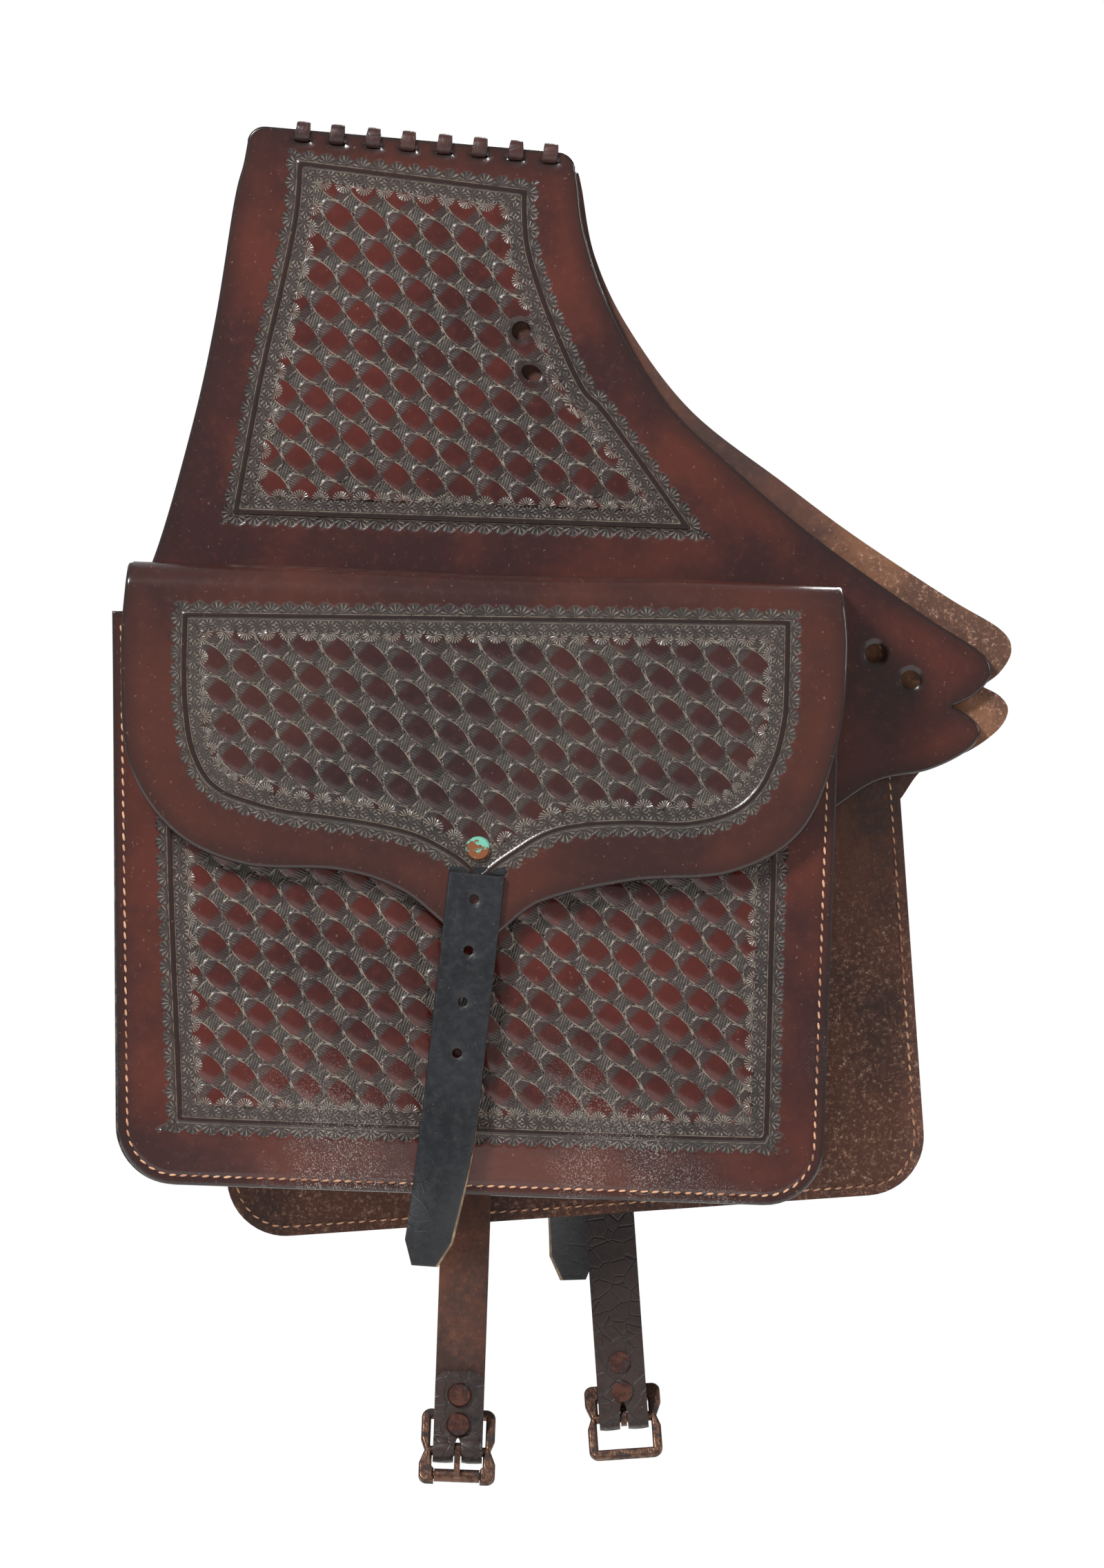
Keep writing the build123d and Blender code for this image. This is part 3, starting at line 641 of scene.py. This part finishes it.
def yokeOutline(half):
    topLeft, topRight = laced(half, fold["left"]), laced(half, fold["right"])
    corner = 7.0
    ear = partial(earPoint, half)
    left = smoothLine([(topLeft[0] - 0.2, topLeft[1] - corner), (topLeft[0] - 1.6, topLeft[1] - 16),
                       (-73, -29), (-79, -77), (-87, -121), (-101, -176), (bag["leftTop"], bag["mouth"] - 4)])
    wall = bagOutline(0, bag["mouth"] - 6)
    wall = wall[wall[:, 1] < bag["mouth"] - 8]
    wall = wall[(wall[:, 0] < bag["right"] - 1) | (wall[:, 1] < -270)]
    lower = smoothLine([(bag["right"], -268), ear(197, -256), ear(218, -250.5), ear(233, -242.5),
                        ear(238.3, -235), ear(235, -229), ear(226.8, -224.4)])
    upper = smoothLine([ear(226.8, -224.4), ear(236, -219), ear(241.9, -210.5), ear(237, -201.5),
                        ear(213.5, -187.3), ear(172, -160), (141, -136), (105.4, -104), (82, -68),
                        (70.5, -38), (topRight[0] + 1.2, topRight[1] - 14),
                        (topRight[0] + 0.1, topRight[1] - corner)])
    arc = np.linspace(0, math.pi / 2, 8)
    edge = np.array(topLeft) - np.array(topRight)
    edge /= np.linalg.norm(edge)
    down = np.array([edge[1], -edge[0]])
    down = down if down[1] < 0 else -down
    rightArc = [np.array(topRight) + edge * corner * (1 - math.cos(a)) + down * corner * (1 - math.sin(a))
                for a in arc]
    leftArc = [np.array(topLeft) - edge * corner * (1 - math.cos(a)) + down * corner * (1 - math.sin(a))
               for a in arc[::-1]]
    top = straightLine(rightArc + leftArc, 1.0)
    return np.vstack([left[:-1], wall, lower[:-1], upper[:-1], top[:-1]])


def yokeBorder():
    points = [(-53, -5.5), (-53.7, -30.5), (-58.1, -58.2), (-64, -88.2), (-68.3, -113.9), (-75.3, -161.5),
              (128.9, -161.3), (87.2, -107.4), (76.5, -96.1), (64.9, -73.1), (57.9, -56.4), (53.2, -41.5),
              (51.6, -26.9), (51.7, -15.2)]
    return np.vstack([smoothLine(points[:6], 0.5)[:-1], straightLine(points[5:7], 0.5)[:-1],
                      smoothLine(points[6:], 0.5)[:-1], straightLine([points[-1], points[0]], 0.5)[:-1]])


yokeBorderLine = yokeBorder()
for name, half in halves.items():
    outline = yokeOutline(half)
    if shoelace(outline) < 0:
        outline = outline[::-1]
    r = tieHoles["r"]
    (u1, w1), (u2, w2) = tieHoles["yoke"]
    holes = [ovalLoop(u1, w1, r, r), ovalLoop(u2, w2, r + 0.4, r - 0.8, -0.5)]
    holes += [ovalLoop(*earPoint(half, u, w), r, r) for u, w in tieHoles["ear"]]
    slope = math.radians(fold["slope"])
    for i in range(fold["laceCount"]):
        along = fold["laceMiddle"] + fold["lacePitch"] * (i - (fold["laceCount"] - 1) / 2)
        x = along * math.cos(slope) - fold["laceDepth"] * math.sin(slope)
        z = -along * math.sin(slope) - fold["laceDepth"] * math.cos(slope)
        holes.append(ovalLoop(*toLocal(half, x, z), 3.5, 0.95, math.radians(half["tilt"]) - slope, 16))

    def field(u, v, edge):
        return toolField(u, v, edge, yokeBorderLine, lambda a, b: (b > -170) & (a < 135))

    piece = sheetPiece(
        name + "YokeLeather", outline, holes, placed(half, layers["gap"] + layers["yoke"] / 2),
        lambda u, v, e, f: stampRelief(f), (0.85, 5.0),
        lambda u, v: (v > -180) & (u < 140) | (u > 175) & (v > -275), layers["yoke"],
        [tooled, flesh, edgeDark], field)
    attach(piece, name + "_half")
    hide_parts(name + "_yoke_back")
print("yokes done")


# ---- front panels
def panelBorder():
    points = [(-99, -190), (-94.6, -295.4), (-87.6, -390.3), (-86.7, -403), (-84, -408.2), (14.3, -408.7),
              (155, -408.6), (161, -404), (162.4, -398.2), (161.7, -303.7), (161.5, -190)]
    return np.vstack([smoothLine(points, 0.5)[:-1], straightLine([points[-1], points[0]], 0.5)[:-1]])


panelBorderLine = panelBorder()
for name, half in halves.items():
    outline = bagOutline(0, bag["mouth"])
    outline = np.vstack([outline[:-1], straightLine([outline[-1], outline[0]], 1.2)[:-1]])

    def bow(u, v):
        across = np.clip(1 - ((u - 32) / 147) ** 2, 0, 1)
        down = np.clip((-325 - v) / 30, 0, 1) * np.clip((v + 428.5) / 25, 0, 1)
        return 2.4 * across * down

    def relief(u, v, edge, field):
        groove = -0.35 * np.exp(-((edge - 3.9) / 0.6) ** 2)
        return stampRelief(field) + groove + bow(u, v)

    def field(u, v, edge):
        return toolField(u, v, edge, panelBorderLine, lambda a, b: b < -230)

    piece = sheetPiece(
        name + "FrontPanelLeather", outline, [], placed(half, panelIn + layers["panel"] / 2), relief,
        (0.85, 6.0), lambda u, v: v < -275, layers["panel"], [tooled, flesh, edgeDark], field)
    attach(piece, name + "_half")
    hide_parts(name + "_front_panel")
print("panels done")


# ---- flaps
flapShape = {"left": -109.3, "right": 179.2, "foldW": -177.0, "frontBend": 12.0, "backBend": 4.0,
             "legBottom": -195.8}


def flapPath():
    t = layers["flap"]
    f = flapShape
    frontC, topC = flapIn + t / 2, f["foldW"] - t / 2
    r1, r2 = f["frontBend"] - t / 2, f["backBend"]
    backC = backFace + t / 2
    points = [(frontC, -345.0)]
    points += [(frontC - r1 + r1 * math.cos(a), topC - r1 + r1 * math.sin(a))
               for a in np.linspace(0, math.pi / 2, 12)]
    points += [(backC + r2 - r2 * math.sin(a), topC - r2 + r2 * math.cos(a))
               for a in np.linspace(0, math.pi / 2, 8)]
    points += [(backC, f["legBottom"])]
    pts = straightLine(points, 0.8)
    step = np.linalg.norm(np.diff(pts, axis=0), axis=1)
    run = np.concatenate([[0], np.cumsum(step)]) - 345.0
    ahead = np.gradient(pts, axis=0)
    ahead /= np.linalg.norm(ahead, axis=1)[:, None] + 1e-9
    normal = np.stack([ahead[:, 1], -ahead[:, 0]], -1)
    return run, pts, normal


flapRun, flapPts, flapNormal = flapPath()
flapTop = flapRun[-1]


def flapPlace(half):
    def place(u, v, h):
        base = [np.interp(v, flapRun, flapPts[:, i]) for i in (0, 1)]
        nrm = [np.interp(v, flapRun, flapNormal[:, i]) for i in (0, 1)]
        side = np.clip((np.abs(u - 35) - 95) / 50, 0, 1)
        wave = 1.6 * side ** 2 * np.clip((-190 - v) / 60, 0, 1) + 0.5 * side * np.sin(v / 13.0 + u / 31.0)
        front = np.clip((-192 - v) / 20, 0, 1)
        sagTop = -1.1 * np.clip((v + 186) / 12, 0, 1) * np.clip((flapTop - 22 - v) / 10, 0, 1) \
            * np.cos((u - 35) / 46) ** 2
        out = base[0] + nrm[0] * (h + sagTop) + wave * front
        w = base[1] + nrm[1] * (h + sagTop)
        return toWorld(half, u, w, out)
    return place


def flapOutline():
    f = flapShape
    l, r, s, u0 = f["left"], f["right"], strapPlace["w"], strapPlace["u"]
    curve = smoothLine([(l, f["foldW"] - 2), (l - 1.3, f["foldW"] - 37), (l + 3.3, s + 39.5),
                        (l + 22.3, s + 11.5), (l + 51.3, s - 1), (u0 - 55.9, s - 2), (u0 - 29.9, s - 9.5),
                        (u0 + 0.5, s - 28.6), (u0 + 26.1, s - 12), (u0 + 62.1, s - 2.3), (r - 41.2, s + 2.5),
                        (r - 13.2, s + 20.5), (r + 0.3, s + 57.5), (r + 2.8, f["foldW"] - 27),
                        (r, f["foldW"] - 2)], 1.2)
    top = straightLine([(r, f["foldW"] - 2), (r, flapTop), (l, flapTop), (l, f["foldW"] - 2)], 1.5)
    return np.vstack([curve[:-1], top[:-1]])


def flapBorder():
    points = [(-91.5, -192.6), (-91.4, -217.7), (-90.3, -235.4), (-87.1, -253.1), (-80.2, -267.1),
              (-71.4, -274.8), (-60.4, -278.9), (-44.4, -282.8), (-26.5, -284.7), (-8.6, -286.8),
              (9.0, -290.6), (24, -298), (37, -307), (50, -298), (64.6, -288.2), (78.1, -284.3),
              (97.2, -282.6), (120.6, -282.3), (139.6, -276.9), (152.0, -266.7), (160.1, -250.6),
              (163.7, -233.5), (164.2, -218.5), (163.7, -187.1)]
    return np.vstack([smoothLine(points, 0.5)[:-1], straightLine([points[-1], points[0]], 0.5)[:-1]])


flapBorderLine = flapBorder()
for name, half in halves.items():
    outline = flapOutline()
    if shoelace(outline) < 0:
        outline = outline[::-1]

    def field(u, v, edge):
        return toolField(u, v, edge, flapBorderLine, lambda a, b: b < -180)

    piece = sheetPiece(
        name + "FlapLeather", outline, [], flapPlace(half), lambda u, v, e, f: stampRelief(f), (0.85, 4.0),
        lambda u, v: v < -180, layers["flap"], [tooledFlap, flesh, edgeDark], field, 1.5)
    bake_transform(piece)
    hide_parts(name + "_flap", name + "_flap_leg")
print("flaps done")

# ---- seam stitches
stitch = {"pitch": 4.4, "length": 3.5, "width": 1.0, "inset": 3.9, "seed": 5}


def stitchTree():
    tree = bpy.data.node_groups.new("seamStitches", "GeometryNodeTree")
    tree.interface.new_socket("Geometry", in_out="INPUT", socket_type="NodeSocketGeometry")
    for label, kind in (("Length", "NodeSocketFloat"), ("Width", "NodeSocketFloat"),
                        ("Seed", "NodeSocketInt")):
        tree.interface.new_socket(label, in_out="INPUT", socket_type=kind)
    tree.interface.new_socket("Geometry", in_out="OUTPUT", socket_type="NodeSocketGeometry")
    add = partial(addNode, tree)
    given = add("NodeGroupInput").outputs
    ball = add("GeometryNodeMeshUVSphere", {"Segments": 8, "Rings": 5, "Radius": 0.5})
    size = add("ShaderNodeCombineXYZ", {0: given["Length"], 1: given["Width"], 2: given["Width"]})
    shape = add("GeometryNodeTransform", {"Geometry": ball, "Scale": size})
    along = add("GeometryNodeInputNamedAttribute", {"Name": "along"}, data_type="FLOAT_VECTOR")
    upward = add("GeometryNodeInputNamedAttribute", {"Name": "upward"}, data_type="FLOAT_VECTOR")
    turn = add("FunctionNodeAlignRotationToVector", {"Vector": along}, axis="X")
    turn = add("FunctionNodeAlignRotationToVector", {"Rotation": turn, "Vector": upward}, axis="Z",
               pivot_axis="X")
    vary = add("FunctionNodeRandomValue", {0: (0.84, 0.85, 0.75), 1: (1.04, 1.12, 1.0),
                                           "Seed": given["Seed"]}, data_type="FLOAT_VECTOR")
    placedAll = add("GeometryNodeInstanceOnPoints", {"Points": given["Geometry"], "Instance": shape,
                                                     "Rotation": turn, "Scale": vary.outputs[0]})
    whole = add("GeometryNodeRealizeInstances", {"Geometry": placedAll})
    dressed = add("GeometryNodeSetMaterial", {"Geometry": whole, "Material": thread})
    add("NodeGroupOutput", {"Geometry": dressed})
    return tree


stitches = stitchTree()


def stitchSeam(name, points, upward, body, node):
    ahead = np.gradient(points, axis=0)
    side = np.cross(upward, ahead)
    ahead /= np.linalg.norm(ahead, axis=1)[:, None]
    ahead = ahead + 0.16 * side / np.linalg.norm(side, axis=1)[:, None]    # each stitch leans a little
    mesh = bpy.data.meshes.new(name)
    mesh.from_pydata(points.tolist(), [], [])
    for key, values in (("along", ahead), ("upward", upward)):
        mesh.attributes.new(key, "FLOAT_VECTOR", "POINT").data.foreach_set("vector", values.ravel())
    source = bpy.data.objects.new(name + "Path", mesh)
    bpy.context.scene.collection.objects.link(source)
    modifier = source.modifiers.new("stitches", "NODES")
    modifier.node_group = stitches
    values = {"Length": stitch["length"] * mm, "Width": stitch["width"] * mm, "Seed": stitch["seed"]}
    for item in stitches.interface.items_tree:
        if item.in_out == "INPUT" and item.name in values:
            modifier[item.identifier] = values[item.name]
    bpy.context.view_layer.update()
    made = bpy.data.meshes.new_from_object(source.evaluated_get(bpy.context.evaluated_depsgraph_get()))
    bpy.data.objects.remove(source)
    for layerName in ("along", "upward"):
        if layerName in made.attributes:
            made.attributes.remove(made.attributes[layerName])
    made.polygons.foreach_set("use_smooth", [True] * len(made.polygons))
    piece = bpy.data.objects.new(name, made)
    bpy.context.scene.collection.objects.link(piece)
    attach(piece, body)
    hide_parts(node)


def evenPoints(line, pitch):
    step = np.linalg.norm(np.diff(line, axis=0), axis=1)
    run = np.concatenate([[0], np.cumsum(step)])
    at = np.linspace(0, run[-1], int(run[-1] / pitch) + 1)
    return np.stack([np.interp(at, run, line[:, i]) for i in range(line.shape[1])], -1)


for name, half in halves.items():
    seam = evenPoints(bagOutline(stitch["inset"], bag["mouth"] - 7, 0.6), stitch["pitch"])
    for label, outs, facing in (("Front", panelOut + bow(seam[:, 0], seam[:, 1]) + 0.02, 1),
                                ("Back", layers["gap"] + 0.05 + 0 * seam[:, 0], -1)):
        points = toWorld(half, seam[:, 0], seam[:, 1], outs)
        upward = np.zeros_like(points)
        upward[:, 1] = -half["side"] * facing
        stitchSeam(name + label + "Stitches", points, upward, name + "_half", name + "_" + label.lower()
                   + "_stitching")
print("stitches done")


# ---- lacing over the fold
lace = {"halfWidth": 3.1, "topWidth": 2.6, "thick": 1.5, "out": 5.7, "up": 1.8, "down": -5.4, "seed": 4}


def laceMesh():
    rng = np.random.default_rng(lace["seed"])
    slope = math.radians(fold["slope"])
    along = np.array([math.cos(slope), 0, -math.sin(slope)])
    up = np.array([math.sin(slope), 0, math.cos(slope)])
    outward = np.array([0, -1.0, 0])
    vertices, faces = [], []
    angles = np.linspace(0, 2 * math.pi, 40, endpoint=False)
    profile = [(-1, -0.25), (-0.93, 0.42), (-0.6, 0.5), (0, 0.54), (0.6, 0.5), (0.93, 0.42), (1, -0.25),
               (0.8, -0.5), (0, -0.5), (-0.8, -0.5)]
    for i in range(fold["laceCount"]):
        place = fold["laceMiddle"] + fold["lacePitch"] * (i - (fold["laceCount"] - 1) / 2)
        lean, shift = rng.uniform(-0.1, 0.1), rng.uniform(-0.5, 0.5)
        start, middle, half = len(vertices), (lace["up"] + lace["down"]) / 2, (lace["up"] - lace["down"]) / 2
        for a in angles:
            c, s = math.cos(a), math.sin(a)
            y = lace["out"] * math.copysign(abs(c) ** 0.7, c)
            h = middle + half * math.copysign(abs(s) ** 0.7, s)
            normal = outward * c / lace["out"] + up * s / half
            normal /= np.linalg.norm(normal)
            width = lace["topWidth"] + (lace["halfWidth"] - lace["topWidth"]) * (1 - max(s, 0))
            aside = lean * (h - middle) * (1 if c > 0 else -1)
            centre = outward * y + up * h + along * (place + shift + aside)
            for across, raised in profile:
                vertices.append((centre + along * across * width + normal * raised * lace["thick"]) * mm)
        n, m = len(angles), len(profile)
        faces += [(start + j * m + k, start + j * m + (k + 1) % m, start + (j + 1) % n * m + (k + 1) % m,
                   start + (j + 1) % n * m + k) for j in range(n) for k in range(m)]
    return vertices, faces


def plainPiece(name, vertices, faces, material):
    mesh = bpy.data.meshes.new(name)
    mesh.from_pydata([tuple(v) for v in vertices], [], faces)
    mesh.polygons.foreach_set("use_smooth", [True] * len(faces))
    mesh.materials.append(material)
    fixFacing(mesh)
    mesh.set_sharp_from_angle(angle=math.radians(55))
    piece = bpy.data.objects.new(name, mesh)
    bpy.context.scene.collection.objects.link(piece)
    return piece


piece = plainPiece("YokeLaceThong", *laceMesh(), laceLeather)
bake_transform(piece)
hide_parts("yoke_lacing")
print("lacing done")

# ---- gussets: a channel round three sides of each bag, its wall sagging into a soft fold
gusset = {"flange": 8.0, "thick": 3.0, "sag": 3.2, "crease": 0.7, "calm": 34.0}


def gussetMesh(half):
    g = gusset
    path = bagOutline(0, bag["mouth"], 2.2)
    ahead = np.gradient(path, axis=0)
    ahead /= np.linalg.norm(ahead, axis=1)[:, None]
    inward = np.stack([-ahead[:, 1], ahead[:, 0]], -1)
    run = np.concatenate([[0], np.cumsum(np.linalg.norm(np.diff(path, axis=0), axis=1))])
    low, high = backFace, weltIn
    t = np.linspace(0, 1, 15)
    wall = low + g["thick"] + (high - low - 2 * g["thick"]) * t
    back = high - (high - low) * t
    profile = [(0, low), (0, low + g["thick"])] + [(g["flange"], w) for w in wall] \
        + [(0, high - g["thick"]), (0, high)] + [(g["flange"] + g["thick"], b) for b in back]
    profile = np.array(profile)
    middle = np.clip((profile[:, 1] - low - g["thick"]) / (high - low - 2 * g["thick"]), 0, 1)
    soft = np.sin(math.pi * middle) * (profile[:, 0] > 1)
    calm = np.where(path[:, 1] < bag["bottom"] + 10,
                    np.clip((np.abs(path[:, 0] - half["billetU"]) - 14) / g["calm"], 0, 1), 1)
    top = np.clip((bag["mouth"] - path[:, 1]) / 20, 0.2, 1)
    wave = np.sin(run / 9.0 + 2.2 * np.sin(run / 31.0 + half["seed"]))
    wave = wave + 0.5 * np.sin(run / 4.1 + half["seed"])
    vertices = []
    for point, normal, amount, ripple in zip(path, inward, calm * top, wave):
        inset = profile[:, 0] + soft * amount * (g["sag"] * soft + g["crease"] * (1 + ripple))
        vertices += list(toWorld(half, point[0] + normal[0] * inset, point[1] + normal[1] * inset,
                                 profile[:, 1]))
    n, m = len(path), len(profile)
    faces = [(i * m + k, i * m + (k + 1) % m, (i + 1) * m + (k + 1) % m, (i + 1) * m + k)
             for i in range(n - 1) for k in range(m)]
    return vertices, faces + [tuple(range(m))[::-1], tuple(range((n - 1) * m, n * m))]


for name, half in halves.items():
    piece = plainPiece(name + "GussetLeather", *gussetMesh(half), gussetLeather)
    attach(piece, name + "_half")
    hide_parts(name + "_gusset")
print("gussets done")

# ---- flap straps: they hang from the slit, lean, and the free end twists and curls forward
flapStrap = {"half": 11.3, "start": 1.2, "length": 160.0, "tipHalf": 6.0, "tipLong": 10.0, "firstHole": 11.5,
             "holePitch": 20.8, "holes": 4, "hole": 2.0, "twist": 38.0, "twistFrom": 84.0}


def strapPlaceOn(half):
    lean = math.radians(half["lean"])
    middle = flapOut + 0.3 + layers["strap"] / 2

    def place(u, v, h):
        t = np.clip((-v - flapStrap["twistFrom"]) / (flapStrap["length"] - flapStrap["twistFrom"]), 0, 1)
        bend = t * t * (3 - 2 * t)
        turn = math.radians(flapStrap["twist"]) * bend
        across = u * np.cos(turn) - h * np.sin(turn)
        raised = -u * np.sin(turn) + h * np.cos(turn) + flapStrap["half"] * np.sin(turn) * 0.5
        wave = 0.5 * np.sin(-v / 24.0) * np.clip(-v / 40, 0, 1)
        sideways = strapPlace["u"] + across * math.cos(lean) + v * math.sin(lean) - 3.5 * bend * t
        down = strapPlace["w"] + v * math.cos(lean) - across * math.sin(lean)
        return toWorld(half, sideways, down, middle + raised + wave + 1.2 * bend)
    return place


for name, half in halves.items():
    f = flapStrap
    outline = straightLine([(-f["half"], -f["start"]), (-f["half"], -f["length"] + f["tipLong"]),
                            (-f["tipHalf"], -f["length"]), (f["tipHalf"], -f["length"]),
                            (f["half"], -f["length"] + f["tipLong"]), (f["half"], -f["start"]),
                            (-f["half"], -f["start"])], 1.2)[:-1]
    holes = [ovalLoop(0, -f["firstHole"] - f["holePitch"] * i, f["hole"], f["hole"], 0, 16)
             for i in range(f["holes"])]
    piece = sheetPiece(name + "FlapStrapLeather", outline, holes, strapPlaceOn(half),
                       lambda u, v, e, f: 0.12 * np.sin(v / 7.0 + u / 9.0), (1.6, 3.0), lambda u, v: u == u,
                       layers["strap"] - 0.1, [blackLeather, blackLeather, edgeRaw], plainField, 0.7)
    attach(piece, name + "_flap_strap")
    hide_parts(name + "_flap_strap")

# ---- billets: from the anchor under the bag, down, round the buckle bar and back up to the rivets
billet = {"half": 10.0, "anchorOut": 34.0, "anchorW": -422.0, "hangOut": 15.5, "barOut": 19.06, "loop": 3.56,
          "backOut": 18.5, "backUp": 32.5, "slotHalf": 1.7, "slotUp": 7.5}


def billetPath(half):
    b = billet
    arc = [(b["hangOut"] + 4 - 4 * math.sin(a), b["anchorW"] - 4 + 4 * math.cos(a))
           for a in np.linspace(0, math.pi / 2, 7)]
    barW = half["barW"]
    loop = [(b["barOut"] - b["loop"] * math.cos(a), barW - b["loop"] * math.sin(a))
            for a in np.linspace(0, math.pi, 14)]
    rise = [(b["backOut"] + (b["barOut"] + b["loop"] - b["backOut"]) * (1 + math.cos(math.pi * t)) / 2,
             barW + 1 + 6 * t) for t in np.linspace(0, 1, 7)]
    points = [(b["anchorOut"], b["anchorW"])] + arc + loop + rise[1:] + [(b["backOut"], barW + b["backUp"])]
    pts = straightLine(points, 0.8)
    run = np.concatenate([[0], np.cumsum(np.linalg.norm(np.diff(pts, axis=0), axis=1))])
    ahead = np.gradient(pts, axis=0)
    ahead /= np.linalg.norm(ahead, axis=1)[:, None] + 1e-9
    normal = np.stack([-ahead[:, 1], ahead[:, 0]], -1)
    return run, pts, normal


for name, half in halves.items():
    run, pts, normal = billetPath(half)
    low = pts[:, 1].argmin()
    total, bar = run[-1], run[low]

    def place(u, v, h, half=half, run=run, pts=pts, normal=normal):
        at = [np.interp(-v, run, pts[:, i]) for i in (0, 1)]
        nrm = [np.interp(-v, run, normal[:, i]) for i in (0, 1)]
        free = np.clip((-v - 25) / 20, 0, 1) * np.clip((run[low] - 40 + v) / 20, 0, 1)
        wave = free * 0.7 * np.sin(v / 15.0 + half["seed"])
        return toWorld(half, half["billetU"] + u, at[1] + nrm[1] * h, at[0] + nrm[0] * h + wave)

    b = billet
    outline = straightLine([(-b["half"], 0), (-b["half"], -total + 3), (-b["half"] + 3, -total),
                            (b["half"] - 3, -total), (b["half"], -total + 3), (b["half"], 0),
                            (-b["half"], 0)], 1.0)[:-1]
    reach = b["slotUp"] + b["loop"] * math.pi / 2
    slot = ovalLoop(0, -bar, b["slotHalf"], reach, 0, 30)
    piece = sheetPiece(name + "BilletLeather", outline, [slot], place,
                       lambda u, v, e, f: 0.1 * np.sin(v / 9.0) + 0.08 * np.sin(u / 2.0 + v / 21.0),
                       (1.5, 3.0), lambda u, v: u == u, layers["billet"] - 0.1,
                       [billetFlesh, billetGrain, edgeDark], plainField, 0.8)
    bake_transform(piece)
    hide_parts(name + "_billet", name + "_billet_anchor")
print("straps and billets done")

# ---- CAD pieces that keep their shape get their finish
finishes = {"welt": edgeDark, "strap_tail": blackLeather, "corner_rivets": copper,
            "anchor_rivets": rivetCopper, "strap_rivet": copper, "billet_rivets": rivetCopper,
            "buckle_frame": bronze, "buckle_tongue": bronze, "buckle_roller": bronze,
            "flap_leg_stitching": thread}
for nodeName, item in frame["nodes"].items():
    key = nodeName.split("_", 1)[1]
    if key in finishes:
        for slotItem in item.material_slots:
            slotItem.material = finishes[key]

# ---- stage, light and camera
view = {"x": 0.0556, "front": -0.05, "z": -0.2637, "height": 0.6319, "distance": 4.0, "sensor": 36.0}
ground = {"z": -0.75, "radius": 1.6, "sides": 48, "color": "#f2f1ee"}
camera = bpy.data.objects.new("camera", bpy.data.cameras.new("camera"))
camera.location = (view["x"], view["front"] - view["distance"], view["z"])
camera.rotation_euler = (math.radians(90), 0, 0)
camera.data.sensor_width = view["sensor"]
camera.data.lens = view["sensor"] * view["distance"] / view["height"]
camera.data.clip_end = 50
bpy.context.scene.collection.objects.link(camera)
bpy.context.scene.camera = camera


def areaLight(name, place, target, size, power):
    lamp = bpy.data.lights.new(name, "AREA")
    lamp.energy, lamp.size = power, size
    item = bpy.data.objects.new(name, lamp)
    item.location = place
    item.rotation_euler = (Vector(target) - Vector(place)).to_track_quat("-Z", "Y").to_euler()
    bpy.context.scene.collection.objects.link(item)


# place, aim, size in metres, power in watts
lamps = {"keyLight": ((-1.0, -1.5, 1.1), (0.05, 0, -0.25), 0.45, 52),
         "lowLight": ((0.5, -1.3, -1.3), (0.05, 0, -0.35), 0.35, 16),
         "sideLight": ((2.0, -0.9, 0.3), (0.05, 0, -0.3), 0.8, 14),
         "backLight": ((0.6, 1.9, 0.8), (0.05, 0, -0.3), 1.0, 40)}
for name, values in lamps.items():
    areaLight(name, *values)

floor = bpy.data.objects.new("floor", bpy.data.meshes.new("floor"))
ringPoints = [(ground["radius"] * math.cos(a), ground["radius"] * math.sin(a), ground["z"])
              for a in np.linspace(0, 2 * math.pi, ground["sides"], endpoint=False)]
floor.data.from_pydata(ringPoints, [], [tuple(range(ground["sides"]))])
bpy.context.scene.collection.objects.link(floor)
floorMaterial, add, _, _ = startMaterial("matWhitePaper")
paper = add("ShaderNodeBsdfPrincipled", {"Base Color": linear(ground["color"]), "Roughness": 0.9})
add("ShaderNodeOutputMaterial", {0: paper})
floor.data.materials.append(floorMaterial)

world = bpy.data.worlds.new("studio")
bpy.context.scene.world = world
world.use_nodes = True
world.node_tree.nodes.clear()
add = partial(addNode, world.node_tree)
rays = add("ShaderNodeLightPath").outputs
seen = add("ShaderNodeMath", [rays["Is Camera Ray"], rays["Is Transmission Ray"]], operation="MAXIMUM")
bright = add("ShaderNodeBackground", {"Color": (1, 1, 1, 1), "Strength": 1.0})
soft = add("ShaderNodeBackground", {"Color": (1, 1, 1, 1), "Strength": 0.3})
add("ShaderNodeOutputWorld", {0: add("ShaderNodeMixShader", [seen, soft, bright])})
bpy.context.scene.view_settings.view_transform = "Standard"
